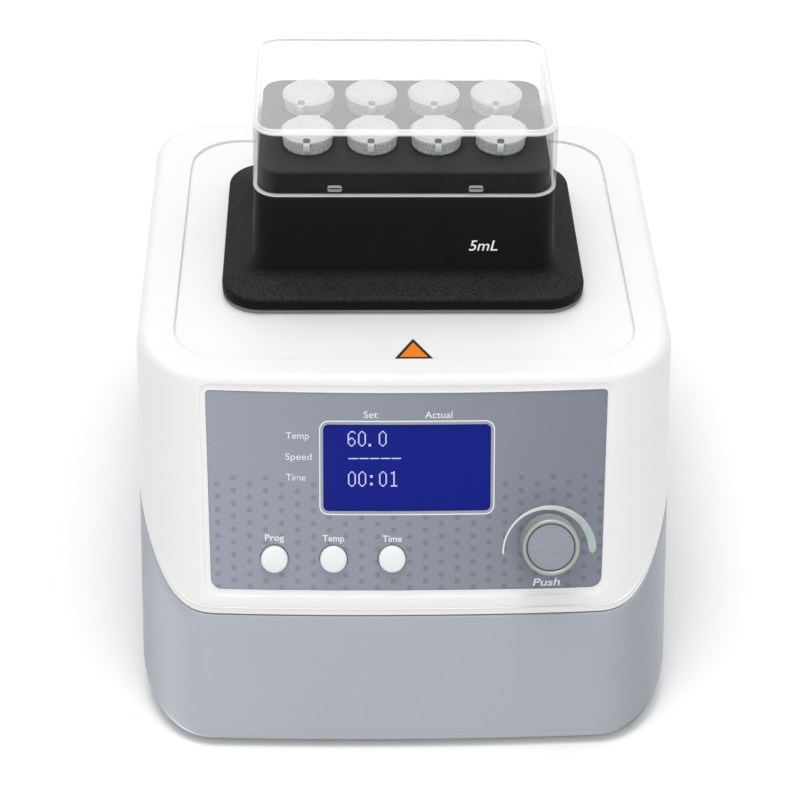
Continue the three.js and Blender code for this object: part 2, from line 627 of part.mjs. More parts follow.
function rearParts() {
  const { inletX, switchX, z } = REAR;
  const face = BACK_Y + GAP;
  // The mains inlet: a flange outside, a body inside, a socket cavity with three pins, a fuse drawer slot
  const flange = solidOf(box(26, 0.75, z - 15, z + 15, inletX, face + 0.75));
  const body = solidOf(box(23, 11, z - 12, z + 12, inletX, face - 10.8));
  const cavity = solidOf(box(12, 9.5, z - 8.2, z + 8.2, inletX + 8, face - 6.5));
  const drawerSlot = solidOf(box(7, 9.5, z - 9.5, z + 9.5, inletX - 14, face - 6.5));
  const pins = [-7, 0, 7].map((dx, i) =>
    solidOf(box(2, 5.8, z - 1 + (i === 1 ? 3.4 : -3), z + 1 + (i === 1 ? 3.4 : -3), inletX + 8 + dx, face - 11.4)),
  );
  add("mains_inlet", geometryOf(join(cut(flange.add(body), cavity, drawerSlot), ...pins)), blackPlastic);

  const drawer = solidOf(box(6.6, 7.5, z - 9.1, z + 9.1, inletX - 14, face - 6));
  const drawerGrip = solidOf(box(3, 0.6, z - 3, z + 3, inletX - 14, face + 1.5));
  const fuseSpace = solidOf(box(3.4, 6, z - 6, z + 30, inletX - 14, face - 7));
  add("fuse_drawer", geometryOf(cut(drawer, drawerGrip, fuseSpace)), blackPlastic);

  const frameFlange = solidOf(box(11.4, 0.75, z - 8.6, z + 8.6, switchX, face + 0.75));
  const frameBody = solidOf(box(9.4, 8, z - 6.6, z + 6.6, switchX, face - 7.8));
  const frameWell = solidOf(box(8.2, 6, z - 5.4, z + 5.4, switchX, face - 4));
  add("switch_frame", geometryOf(frameFlange.add(frameBody).subtract(frameWell)), blackPlastic);

  // Rocker: rocks about X through its pivot; the profile is drawn in Y-Z about that pivot
  const rocker = new THREE.Shape();
  rocker.moveTo(-3.4, -1.6);
  rocker.lineTo(1.2, -4.2);
  rocker.lineTo(4, -4.2);
  rocker.quadraticCurveTo(1.2, 0, 2.6, 4.2);
  rocker.lineTo(1.2, 4.2);
  rocker.lineTo(-3.4, 1.6);
  const rockerSolid = alongX(rocker, -7.6, 7.6, 4);
  add("power_rocker", rockerSolid, blackPlastic).position.set(switchX, face - 4.2, z);
}

// ---------------------------------------------------------------- feet, screws and label

function smallParts() {
  SCREW_POSTS.forEach(([x, y], i) => {
    const foot = [
      [0, 0],
      [7.2, 0],
      [8, 0.8],
      [8, BASE_Z - GAP],
      [3.1, BASE_Z - GAP],
      [3.1, FOOT_STEM_TOP],
      [0, FOOT_STEM_TOP],
    ];
    add(`foot_${i + 1}`, turned(foot, 20), rubber).position.set(x, y, 0);
    const screw = [
      [0, 44],
      [2.8, 44],
      [2.8, 46.7],
      [1.5, 46.7],
      [1.5, 64],
      [0, 64.6],
    ];
    add(`housing_screw_${i + 1}`, turned(screw, 10), steel).position.set(x, y, 0);
  });

  // Triangular hot-surface label at the front of the recess
  const side = 14.4;
  const front = RECESS.y - RECESS.halfY + 0.9;
  const triangle = new THREE.Shape();
  triangle.moveTo(2.8 - side / 2, front);
  triangle.lineTo(2.8 + side / 2, front);
  triangle.lineTo(2.8, front + side * Math.sin(Math.PI / 3));
  add("hot_surface_label", prism(triangle, RECESS.floor + 0.15, RECESS.floor + 0.45), finish(0xe8821a, 0.5));
}

add("lower_housing", lowerHousing(), greyPaint);
add("upper_housing", upperHousing(), whitePlastic);
panelParts();
knobParts();
heatingParts();
blockParts();
tubes();
add("lid", clearLid(), clear);
electronics();
rearParts();
smallParts();

export default heater;
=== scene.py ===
import json
import math
import random

import bpy
from mathutils import Matrix, Vector
from mathutils.geometry import delaunay_2d_cdt


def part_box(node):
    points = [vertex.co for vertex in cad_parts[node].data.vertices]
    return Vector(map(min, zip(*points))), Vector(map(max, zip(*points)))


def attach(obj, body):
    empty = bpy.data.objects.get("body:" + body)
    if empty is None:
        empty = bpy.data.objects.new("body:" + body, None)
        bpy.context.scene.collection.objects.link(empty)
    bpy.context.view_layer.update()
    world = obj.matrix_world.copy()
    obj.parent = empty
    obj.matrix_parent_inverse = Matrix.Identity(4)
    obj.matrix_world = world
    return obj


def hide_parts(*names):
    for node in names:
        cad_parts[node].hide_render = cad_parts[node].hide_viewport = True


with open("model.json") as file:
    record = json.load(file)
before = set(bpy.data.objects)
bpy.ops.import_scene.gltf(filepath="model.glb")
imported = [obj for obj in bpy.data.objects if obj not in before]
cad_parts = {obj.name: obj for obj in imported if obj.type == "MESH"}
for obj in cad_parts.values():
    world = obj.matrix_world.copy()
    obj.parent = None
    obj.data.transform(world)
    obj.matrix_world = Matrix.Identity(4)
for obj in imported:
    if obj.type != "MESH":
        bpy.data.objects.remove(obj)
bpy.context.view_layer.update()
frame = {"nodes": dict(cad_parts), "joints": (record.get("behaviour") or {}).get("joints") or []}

MM = 0.001
rng = random.Random(7)


def box_mm(node):
    low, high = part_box(node)
    return low / MM, high / MM


def middle_mm(node):
    low, high = box_mm(node)
    return (low + high) / 2


# ------------------------------------------------------------------ places taken from the CAD

UPPER_HIGH = box_mm("upper_housing")[1]
BLOCK_LOW, BLOCK_HIGH = box_mm("block_shroud")
LID_LOW, LID_HIGH = box_mm("lid")
LABEL_LOW, LABEL_HIGH = box_mm("hot_surface_label")
JOINTS = {joint["name"]: joint for joint in frame["joints"]}
KNOB_AT = Vector(JOINTS["knob_turn"]["pos_m"]) / MM
OUT = Vector(JOINTS["knob_turn"]["axis"]).normalized()  # out of the sloping front

TOP_Z = UPPER_HIGH.z
BASE_Z = box_mm("lower_housing")[0].z
BACK_Y = UPPER_HIGH.y
TILT = math.asin(OUT.z)
COS, SIN, TAN = math.cos(TILT), math.sin(TILT), math.tan(TILT)
FRONT_TOP_Y = KNOB_AT.y + (TOP_Z - KNOB_AT.z) * TAN
BLOCK_Y = middle_mm("block_shroud").y
FLARE = 1.5  # how much wider the housing is at the back than at the front
DRAFT = 0.8  # how much narrower it is at the foot than at the top
TOP_HALF = UPPER_HIGH.x - FLARE
BASE_HALF = TOP_HALF - DRAFT
CORNER_X, CORNER_Y = 29.0, 33.0
BACK_CORNER = 23.0
BOW = 2.8e-4  # the front's bow: its fall is this times the square of the distance from the middle
FRONT_X = 76.0  # the front columns of the shells run between plus and minus this
UP_S, DOWN_S = 2.4, 82.6  # slope distances where the panel's surround starts and ends

RECESS = {"x": 85.7, "y": 77.3, "cy": 30.8, "r": 20.0}
SEAT = {"x": 58.0, "y": 38.0, "r": 6.0}
PANEL = {"top": 5.3, "foot": 78.4, "half": 72.7, "foot_half": 71.4}
WINDOW = {"x": 30.45, "middle": 33.1, "half": 15.95, "r": 2.0}
SHELL = 2.4  # wall thickness of both housings


# ------------------------------------------------------------------ mesh making


class Skin:
    """Vertices and faces that grow ring by ring."""

    def __init__(self):
        self.points, self.faces, self.marks = [], [], []

    def add(self, point, mark=0.0):
        self.points.append(tuple(point))
        self.marks.append(mark)
        return len(self.points) - 1

    def ring(self, points):
        return [self.add(p) for p in points]

    def strip(self, low, high, closed=True, skip=()):
        count = len(low)
        for i in range(count if closed else count - 1):
            if i not in skip:
                j = (i + 1) % count
                self.faces.append((low[i], low[j], high[j], high[i]))

    def stack(self, rings, skip=(), start=0, end=0):
        """Joins rings in turn. Between rings start and end, the faces listed in skip are left out."""
        for k, (low, high) in enumerate(zip(rings, rings[1:])):
            self.strip(low, high, True, skip if start <= k < end else ())

    def patch(self, loops, place=None, inner=(), flip=False):
        """Fills the first loop less the others. A loop is (indices, flat points)."""
        flat, ids, outlines = [], [], []
        for indices, points in loops:
            start, count = len(flat), len(points)
            turned = zip(points, points[1:] + points[:1])
            if sum(a[0] * b[1] - b[0] * a[1] for a, b in turned) < 0:
                indices, points = indices[::-1], points[::-1]
            flat += [Vector(p) for p in points]
            ids += list(indices)
            outlines.append(list(range(start, start + count)))
        flat += [Vector(p) for p in inner]
        ids += [None] * len(inner)
        verts, _, faces, origin, _, within = delaunay_2d_cdt(flat, [], outlines, 1, 1e-7)
        known = {}
        for face, loops_over in zip(faces, within):
            if list(loops_over) != [0]:
                continue
            a, b, c = (verts[k] for k in face[:3])
            turn = (b.x - a.x) * (c.y - a.y) - (b.y - a.y) * (c.x - a.x)
            made = []
            for k in face:
                if k not in known:
                    named = [ids[o] for o in origin[k] if ids[o] is not None]
                    known[k] = named[0] if named else self.add(place(verts[k]))
                made.append(known[k])
            if (turn < 0) != flip:
                made.reverse()
            self.faces.append(tuple(made))

    def to_mesh(self, name):
        mesh = bpy.data.meshes.new(name)
        mesh.from_pydata([tuple(c * MM for c in p) for p in self.points], [], self.faces)
        mesh.update()
        return mesh

    def to_object(self, name, look, body, replaces, slot, sharp, thick=0.0):
        mesh = self.to_mesh(name)
        if any(self.marks):
            layer = mesh.attributes.new("haze_and_glint", "FLOAT", "POINT")
            layer.data.foreach_set("value", self.marks)
        finish_piece(linked(name, mesh), look, body, replaces, slot, sharp, thick)


def linked(name, data):
    made = bpy.data.objects.new(name, data)
    bpy.context.scene.collection.objects.link(made)
    return made


def applied(piece):
    """The piece's mesh as it is after its modifiers."""
    bpy.context.view_layer.update()
    graph = bpy.context.evaluated_depsgraph_get()
    return bpy.data.meshes.new_from_object(piece.evaluated_get(graph))


def finish_piece(piece, look, body, replaces, slot, sharp, thick=0.0):
    if thick:
        mod = piece.modifiers.new("solidify", "SOLIDIFY")
        mod.thickness, mod.offset = thick * MM, -1
        baked = applied(piece)
        piece.modifiers.clear()
        piece.data = baked
    piece.data.shade_smooth()
    piece.data.set_sharp_from_angle(angle=math.radians(sharp))
    piece.data.materials.clear()
    piece.data.materials.append(LOOKS[look])
    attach(piece, body)
    if replaces:
        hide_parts(*replaces)


def rounded(half_x, half_y, radius, cx=0.0, cy=0.0, steps=10, along=(1, 1)):
    """A rounded rectangle, anticlockwise from its lower right corner."""
    corners = [(1, -1, -90), (1, 1, 0), (-1, 1, 90), (-1, -1, 180)]
    arcs = []
    for sx, sy, start in corners:
        mx, my = cx + sx * (half_x - radius), cy + sy * (half_y - radius)
        angles = [math.radians(start + 90 * k / steps) for k in range(steps + 1)]
        arcs.append([(mx + radius * math.cos(a), my + radius * math.sin(a)) for a in angles])
    points = []
    for number, arc in enumerate(arcs):
        begin, end = arc[-1], arcs[(number + 1) % 4][0]
        shares = [k / along[number % 2] for k in range(1, along[number % 2])]
        points += arc
        points += [tuple(a * (1 - t) + b * t for a, b in zip(begin, end)) for t in shares]
    return points


def circle(radius, cx=0.0, cy=0.0, count=48):
    return [
        (cx + radius * math.cos(math.tau * k / count), cy + radius * math.sin(math.tau * k / count))
        for k in range(count)
    ]


def lathe(profile, count=64, place=None, ripple=None):
    """A closed solid from a profile of (radius, height) that starts and ends on the axis."""
    skin = Skin()
    place = place or (lambda p: p)
    rings = []
    for number, (radius, height) in enumerate(profile):
        if radius < 1e-6:
            rings.append([skin.add(place((0, 0, height)))])
            continue
        points = []
        for k in range(count):
            grown = radius + (ripple(number, k) if ripple else 0)
            angle = math.tau * k / count
            points.append(place((grown * math.cos(angle), grown * math.sin(angle), height)))
        rings.append(skin.ring(points))
    for low, high in zip(rings, rings[1:]):
        if len(low) == 1:
            skin.faces += [(low[0], high[(k + 1) % count], high[k]) for k in range(count)]
        elif len(high) == 1:
            skin.faces += [(low[k], low[(k + 1) % count], high[0]) for k in range(count)]
        else:
            skin.strip(low, high)
    return skin


def smooth_profile(profile, radius=0.3, steps=3):
    """Rounds the corners of a (radius, height) profile."""
    made = [profile[0]]
    for before, here, after in zip(profile, profile[1:], profile[2:]):
        a, b, c = Vector(before), Vector(here), Vector(after)
        reach = min(radius, (a - b).length * 0.45, (c - b).length * 0.45)
        start, end = b + (a - b).normalized() * reach, b + (c - b).normalized() * reach
        made += [tuple(p) for p in fillet(start, b, end, steps)]
    return made + [profile[-1]]


def fillet(start, corner, end, steps):
    return [
        start * (1 - t) ** 2 + corner * 2 * t * (1 - t) + end * t * t
        for t in (k / steps for k in range(steps + 1))
    ]


# ------------------------------------------------------------------ materials


class Look:
    """A node material built up from a Principled shader."""

    def __init__(self, name, color, rough, metal=0.0):
        self.material = bpy.data.materials.new(name)
        self.material.use_nodes = True
        self.tree = self.material.node_tree
        self.shader = self.tree.nodes["Principled BSDF"]
        self.color = color
        self.shader.inputs["Roughness"].default_value = rough
        self.shader.inputs["Metallic"].default_value = metal
        self.space = self.node("ShaderNodeTexCoord").outputs["Object"]

    def node(self, kind, **settings):
        made = self.tree.nodes.new(kind)
        for key, value in settings.items():
            setattr(made, key, value)
        return made

    def link(self, source, target):
        self.tree.links.new(source, target)

    def math(self, operation, a, b=None, clamp=False):
        made = self.node("ShaderNodeMath", operation=operation, use_clamp=clamp)
        for k, value in enumerate((a, b)):
            if value is None:
                continue
            if isinstance(value, (int, float)):
                made.inputs[k].default_value = value
            else:
                self.link(value, made.inputs[k])
        return made.outputs[0]

    def noise(self, scale, detail=3.0):
        made = self.node("ShaderNodeTexNoise")
        made.inputs["Scale"].default_value = scale
        made.inputs["Detail"].default_value = detail
        self.link(self.space, made.inputs["Vector"])
        return made.outputs["Fac"]

    def axes(self, vector):
        parts = self.node("ShaderNodeSeparateXYZ")
        self.link(vector, parts.inputs[0])
        return parts.outputs

    def spread(self, value, low, high, start=0.3, end=0.7):
        made = self.node("ShaderNodeMapRange")
        self.link(value, made.inputs["Value"])
        for key, limit in (("From Min", start), ("From Max", end), ("To Min", low), ("To Max", high)):
            made.inputs[key].default_value = limit
        return made.outputs[0]

    def mix(self, share, a, b, blend="MIX"):
        made = self.node("ShaderNodeMix", data_type="RGBA", blend_type=blend)
        self.link(share, made.inputs["Factor"])
        for key, value in ((6, a), (7, b)):
            if isinstance(value, tuple):
                made.inputs[key].default_value = (*value, 1)
            else:
                self.link(value, made.inputs[key])
        return made.outputs[2]

    def patchy(self, scale, a, b, detail=3.0):
        """Two colours in soft noisy patches."""
        return self.mix(self.spread(self.noise(scale, detail), 0, 1), a, b)

    def paint(self, color):
        self.link(color, self.shader.inputs["Base Color"])
        return self

    def vary(self, amount=0.05, scale=40.0):
        """Uneven colour."""
        dark = tuple(c * (1 - amount) for c in self.color)
        light = tuple(min(1, c * (1 + amount)) for c in self.color)
        return self.paint(self.patchy(scale, dark, light))

    def gloss(self, low, high, scale=60.0):
        self.link(self.spread(self.noise(scale), low, high), self.shader.inputs["Roughness"])
        return self

    def lit(self, color, strength):
        self.shader.inputs["Emission Color"].default_value = (*color, 1)
        self.shader.inputs["Emission Strength"].default_value = strength
        return self

    def bump(self, strength=0.1, scale=900.0, distance=0.0001):
        made = self.node("ShaderNodeBump")
        made.inputs["Strength"].default_value = strength
        made.inputs["Distance"].default_value = distance
        self.link(self.noise(scale, 2.0), made.inputs["Height"])
        self.link(made.outputs[0], self.shader.inputs["Normal"])
        return self


def srgb(r, g, b):
    def linear(v):
        v /= 255
        return v / 12.92 if v <= 0.04045 else ((v + 0.055) / 1.055) ** 2.4

    return (linear(r), linear(g), linear(b))


def plain(name, color, rough, metal, vary, grain, grain_scale):
    look = Look(name, color, rough, metal).vary(vary).gloss(rough * 0.85, min(1, rough * 1.15))
    return look.bump(grain, grain_scale).material


# colour, roughness, metal, unevenness of the colour, depth and scale of the grain
PLAIN = {
    "white_plastic": ((0.79, 0.79, 0.79), 0.32, 0, 0.008, 0.03, 1500),
    "black_plastic": ((0.012, 0.012, 0.013), 0.42, 0, 0.15, 0.12, 1800),
    "rubber": ((0.02, 0.02, 0.02), 0.85, 0, 0.2, 0.3, 1200),
    "grey_rubber": ((0.2, 0.205, 0.21), 0.75, 0, 0.1, 0.25, 1200),
    "aluminium": ((0.62, 0.63, 0.65), 0.34, 1.0, 0.06, 0.15, 2500),
    "steel": ((0.66, 0.67, 0.68), 0.25, 1.0, 0.05, 0.08, 1500),
    "circuit_board": ((0.015, 0.14, 0.05), 0.4, 0, 0.25, 0.2, 500),
    "insulation": ((0.7, 0.66, 0.56), 0.95, 0, 0.15, 0.9, 500),
    "heater_film": ((0.5, 0.18, 0.03), 0.4, 0, 0.2, 0.1, 600),
    "copper_core": ((0.4, 0.22, 0.08), 0.45, 0.4, 0.3, 0.4, 700),
    "knob_metal": (srgb(172, 172, 172), 0.42, 0.55, 0.06, 0.35, 3000),
    "print_white": ((0.78, 0.79, 0.82), 0.5, 0, 0.05, 0.1, 900),
    "button_white": ((0.79, 0.795, 0.81), 0.35, 0, 0.01, 0.05, 900),
    "orange_print": (srgb(226, 122, 4), 0.45, 0, 0.04, 0.08, 900),
    "dark_print": ((0.008, 0.007, 0.006), 0.5, 0, 0.1, 0.08, 900),
    "mark_grey": ((0.13, 0.13, 0.135), 0.5, 0, 0.1, 0.08, 900),
    "print_bright": ((0.88, 0.88, 0.88), 0.45, 0, 0.03, 0.08, 900),
    "display_surround": (srgb(148, 152, 160), 0.45, 0, 0.04, 0.1, 900),
}
LOOKS = {name: plain(name, *row) for name, row in PLAIN.items()}


# The tray paint's painted highlight and painted shade: which way the surface faces, how narrow the band is,
# and what the colour is multiplied by.
PAINTED_LIGHT_BANDS = [((-0.53, -0.85, 0), 18.0, 2.3), ((-1, 0, 0), 14.0, 0.85), ((0.57, -0.82, 0), 16.0, 0.4)]


def grey_paint_look():
    """Satin metallic paint with a painted highlight on the front left corner, and painted shade on the left
    side and the front right corner, by the way the surface faces.
    """
    look = Look("grey_paint", srgb(168, 172, 180), 0.4, 0.25)
    normal = look.node("ShaderNodeNewGeometry").outputs["Normal"]
    tone_and_painted_light = look.patchy(9, srgb(164, 168, 175), srgb(168, 172, 181))
    # Each band multiplies the colour: a painted highlight where above 1, painted shade where below 1.
    for direction, power, painted_light_gain in PAINTED_LIGHT_BANDS:
        facing = look.node("ShaderNodeVectorMath", operation="DOT_PRODUCT")
        look.link(normal, facing.inputs[0])
        facing.inputs[1].default_value = direction
        share = look.math("POWER", look.math("MAXIMUM", facing.outputs["Value"], 0.0), power)
        tone_and_painted_light = look.mix(share, tone_and_painted_light, (painted_light_gain, painted_light_gain, painted_light_gain), "MULTIPLY")
    return look.paint(tone_and_painted_light).gloss(0.36, 0.46, 90).bump(0.05, 3200).material


def knob_disc_look():
    look = Look("knob_disc", srgb(146, 151, 159), 0.55, 0.25).vary(0.16, 2600)
    return look.bump(0.5, 2600, 0.00012).material


def tube_look():
    look = Look("tube_plastic", (0.66, 0.67, 0.68), 0.3)
    look.shader.inputs["Subsurface Weight"].default_value = 0.25
    look.shader.inputs["Subsurface Radius"].default_value = (0.003, 0.003, 0.003)
    look.shader.inputs["Subsurface Scale"].default_value = 0.6
    return look.vary(0.02, 120).gloss(0.25, 0.38, 150).bump(0.06, 500, 0.0002).material


def display_look():
    look = Look("display_blue", srgb(12, 24, 118), 0.3).lit(srgb(20, 34, 136), 0.15)
    look.shader.inputs["Specular IOR Level"].default_value = 0.1
    return look.vary(0.03, 60).gloss(0.24, 0.32, 90).bump(0.02, 800).material


def digit_look():
    color = srgb(195, 200, 235)
    return Look("display_digit", color, 0.4).lit(color, 0.2).vary(0.03, 300).bump(0.02, 900).material


# The printed dots: first column and row, their pitches, the odd columns' shift, the radius and its soft edge.
DOT = {"x0": -57.25, "pitch_x": 5.816, "s0": 54.1, "pitch_s": 4.767, "shift": 2.4, "r": 1.05, "soft": 0.12}
DOTS_FROM_S = 36.2
PAINTED_SHADE_HALF = 72  # the panel's painted shade, darker to the right, runs from minus this to plus this


def panel_look():
    """Grey film: painted shade that darkens it evenly towards the right, a fine speckle and a staggered field
    of darker dots.
    """
    look = Look("panel_film", srgb(150, 154, 166), 0.42)
    parts = look.axes(look.space)
    x = look.math("DIVIDE", parts[0], MM)
    s = look.math("DIVIDE", look.math("SUBTRACT", TOP_Z * MM, parts[2]), MM * COS)
    column = look.math("DIVIDE", look.math("SUBTRACT", x, DOT["x0"]), DOT["pitch_x"])
    number = look.math("ROUND", column)
    off_x = look.math("MULTIPLY", look.math("SUBTRACT", column, number), DOT["pitch_x"])
    odd = look.math("PINGPONG", number, 1.0)
    shift = look.math("MULTIPLY", odd, DOT["shift"])
    down = look.math("SUBTRACT", look.math("SUBTRACT", s, DOT["s0"]), shift)
    row = look.math("DIVIDE", down, DOT["pitch_s"])
    off_s = look.math("MULTIPLY", look.math("SUBTRACT", row, look.math("ROUND", row)), DOT["pitch_s"])
    square = look.math("ADD", look.math("POWER", off_x, 2.0), look.math("POWER", off_s, 2.0))
    dot = look.spread(look.math("SQRT", square), 1, 0, DOT["r"] - DOT["soft"], DOT["r"] + DOT["soft"])
    dot = look.math("MULTIPLY", dot, look.math("GREATER_THAN", s, DOTS_FROM_S))
    # Painted shade: the film darkens evenly from left to right.
    across = look.spread(x, 0, 1, -PAINTED_SHADE_HALF, PAINTED_SHADE_HALF)
    base = look.mix(across, srgb(146, 150, 163), srgb(118, 124, 136))
    speckle = look.patchy(2600, (0.93, 0.93, 0.93), (1.07, 1.07, 1.07), 1.0)
    grained = look.node("ShaderNodeMix", data_type="RGBA", blend_type="MULTIPLY")
    grained.inputs["Factor"].default_value = 1
    look.link(base, grained.inputs[6])
    look.link(speckle, grained.inputs[7])
    dark = look.mix(look.math("MULTIPLY", dot, 0.8), grained.outputs[2], (0.68, 0.74, 0.74), "MULTIPLY")
    return look.paint(dark).gloss(0.38, 0.5, 400).bump(0.12, 2600, 0.00005).material


def arc_look():
    look = Look("arc_silver", srgb(205, 214, 214), 0.4, 0.2)
    # Painted shade: the arc darkens towards its right end.
    across = look.spread(look.axes(look.space)[0], 0, 1, 0.05, 0.066)
    tone_and_painted_light = look.mix(across, srgb(226, 232, 232), srgb(168, 178, 178))
    brushed = look.mix(look.spread(look.noise(900), 0, 0.3), tone_and_painted_light, srgb(235, 238, 238))
    return look.paint(brushed).gloss(0.35, 0.45, 300).bump(0.1, 1500).material


def block_look():
    """Black moulded cover with a fine texture, greyer where it faces up, and most so on its deck: partly the
    cover's own colour, partly painted light on the upward faces.
    """
    look = Look("block_black", (0.005, 0.005, 0.005), 0.5)
    look.shader.inputs["Specular IOR Level"].default_value = 0.09
    normal = look.axes(look.node("ShaderNodeNewGeometry").outputs["Normal"])
    base = look.patchy(35, (0.003, 0.003, 0.003), (0.005, 0.005, 0.005))
    deck = look.patchy(60, (0.03, 0.03, 0.031), (0.038, 0.038, 0.039))
    flange = look.patchy(1500, (0.008, 0.008, 0.008), (0.034, 0.034, 0.035), 1.0)
    # Partly painted light: upward faces turn grey, the flange's speckled grey low down and the deck's grey
    # higher up.
    grey = look.mix(look.spread(look.axes(look.space)[2], 0, 1, 0.13, 0.16), flange, deck)
    look.paint(look.mix(look.spread(normal[2], 0, 1, 0.15, 0.95), base, grey))
    return look.gloss(0.42, 0.55, 50).bump(0.15, 1900, 0.00008).material


def lid_look():
    """Clear plastic: see-through where it is thin and white where its points are painted so, for a slight
    milkiness and for painted glints and reflections on its round edges and top; towards grazing edges it
    darkens and grows more opaque, as painted shade.
    """
    look = Look("clear_plastic", (0.9, 0.91, 0.92), 0.08)
    look.gloss(0.05, 0.12, 60).bump(0.02, 200)
    haze_and_glint = look.node("ShaderNodeAttribute", attribute_name="haze_and_glint").outputs["Fac"]
    cloud = look.spread(look.noise(80), 0.94, 1.06)
    # Painted shade: the colour darkens and grows more opaque towards grazing edges.
    weight = look.node("ShaderNodeLayerWeight")
    weight.inputs["Blend"].default_value = 0.5
    rim = look.spread(weight.outputs["Facing"], 0, 1, 0.72, 1.0)
    look.paint(look.mix(rim, (0.86, 0.87, 0.88), (0.3, 0.31, 0.32)))
    milky_glint = look.math("MULTIPLY", haze_and_glint, cloud)
    opaque = look.math("ADD", milky_glint, look.math("MULTIPLY", rim, 0.5), clamp=True)
    look.link(opaque, look.shader.inputs["Alpha"])
    return look.material


LOOKS |= {
    "grey_paint": grey_paint_look(), "knob_disc": knob_disc_look(), "tube_plastic": tube_look(),
    "display_blue": display_look(), "display_digit": digit_look(), "panel_film": panel_look(),
    "arc_silver": arc_look(), "block_black": block_look(), "clear_plastic": lid_look(),
}


# ------------------------------------------------------------------ the housing's surface


def half_at(z):
    return BASE_HALF + (TOP_HALF - BASE_HALF) * (z - BASE_Z) / (TOP_Z - BASE_Z)


def front_y(x, z):
    over = (abs(x) - (half_at(z) - CORNER_X)) / CORNER_X
    y = FRONT_TOP_Y - (TOP_Z - z) * TAN + BOW * x * x
    if over > 0:
        y += CORNER_Y * (1 - math.sqrt(max(0.0, 1 - min(1.0, over) ** 2)))
    return y


def panel_point(x, s, depth=0.0):
    z = TOP_Z - s * COS
    return (x, front_y(x, z) + depth * COS, z - depth * SIN)


def columns():
    """Each column of the housing's wall: (kind, share of the way round its stretch, side)."""
    made = []
    count = 46
    for k in range(count + 1):
        t = 2 * k / count - 1
        made.append(("front", FRONT_X * (0.75 * t + 0.25 * math.sin(math.pi * t / 2)), 1))
    right = [("corner", k / 16, 1) for k in range(1, 17)]
    right += [("side", k / 12, 1) for k in range(1, 13)]
    right += [("back_corner", k / 12, 1) for k in range(1, 13)]
    back = [("back", k / 28, 1) for k in range(1, 28)]
    left = [(kind, t, -1) for kind, t, _ in reversed(right)]
    return made + right + back + left


COLUMNS = columns()
BACK_COLUMNS = [i for i, c in enumerate(COLUMNS) if c[0] == "back"]
BACK_COLUMNS = [BACK_COLUMNS[0] - 1] + BACK_COLUMNS + [BACK_COLUMNS[-1] + 1]
FRONT_COLUMNS = [i for i, c in enumerate(COLUMNS) if c[0] == "front"]


def wall(column, z):
    kind, t, side = column
    half = half_at(z)
    if kind == "front":
        return Vector((t, front_y(t, z)))
    if kind == "corner":
        bend = half - CORNER_X
        start = math.asin((FRONT_X - bend) / CORNER_X)
        x = bend + CORNER_X * math.sin(start + (math.pi / 2 - start) * t)
        return Vector((side * x, front_y(x, z)))
    corner_y = BACK_Y - BACK_CORNER
    if kind == "side":
        y = front_y(half, z)
        return Vector((side * (half + FLARE * t), y + (corner_y - y) * t))
    inner = half + FLARE - BACK_CORNER
    if kind == "back_corner":
        angle = t * math.pi / 2
        x, y = inner + BACK_CORNER * math.cos(angle), corner_y + BACK_CORNER * math.sin(angle)
        return Vector((side * x, y))
    return Vector((inner * (1 - 2 * t), BACK_Y))


def inward(index, z):
    before = wall(COLUMNS[index - 1], z)
    after = wall(COLUMNS[(index + 1) % len(COLUMNS)], z)
    along = (after - before).normalized()
    return Vector((-along.y, along.x))


def inset_point(index, z, inset):
    flat = wall(COLUMNS[index], z) + inward(index, z) * inset
    return Vector((flat.x, flat.y, z))


def ease(t):
    return t * t * (3 - 2 * t)


def edge_size(column, front, side, back):
    kind, t, _ = column
    if kind == "front":
        return front
    if kind == "corner":
        return front + (side - front) * ease(t)
    if kind == "side":
        return side
    if kind == "back_corner":
        return side + (back - side) * ease(t)
    return back


# The line between the housings: its height at the sides, then the slope it takes in front of y, the length
# of the bend between them, and the dip that it makes behind the flat front, fading out between two depths.
SEAM = {"level": 76.0, "slope": 0.74, "y": -59.0, "bend": 10.0}
DIP = {"depth": 3.5, "run": 4.5, "front_y": -102.45, "fade_from": -62.0, "fade_to": -25.0}
JOINT_GAP = 0.25  # each housing stops this far from the line


def seam_z(index):
    """Height of the line at a column, by steps, as the wall's own place depends on the height."""
    z = 60.0
    for _ in range(40):
        y = wall(COLUMNS[index], z).y
        bend = SEAM["bend"]
        z = SEAM["level"] - SEAM["slope"] * bend * math.log1p(math.exp((SEAM["y"] - y) / bend))
        behind = max(0.0, y - DIP["front_y"])
        faded = (y - DIP["fade_from"]) / (DIP["fade_to"] - DIP["fade_from"])
        fade = 1 - ease(max(0.0, min(1.0, faded)))
        z -= DIP["depth"] * (1 - math.exp(-behind / DIP["run"])) * fade
    return z


def wall_ring(skin, heights, inset):
    """A ring round the housing, with a height for each column and one inset or one for each column."""
    insets = inset if isinstance(inset, list) else [inset] * len(COLUMNS)
    return skin.ring([inset_point(i, z, insets[i]) for i, z in enumerate(heights)])


def between(a, b, t):
    return [p * (1 - t) + q * t for p, q in zip(a, b)]


def gap_loop(rows, columns, low, high):
    """The edge of the opening left between two rows of a wall."""
    loop = [rows[low][i] for i in columns]
    loop += [rows[k][columns[-1]] for k in range(low + 1, high + 1)]
    loop += [rows[high][i] for i in reversed(columns[:-1])]
    return loop + [rows[k][columns[0]] for k in range(high - 1, low, -1)]


def box_distance(x, y, half_x, half_y, radius, cy):
    dx, dy = abs(x) - half_x + radius, abs(y - cy) - half_y + radius
    return math.hypot(max(dx, 0), max(dy, 0)) + min(max(dx, dy), 0) - radius


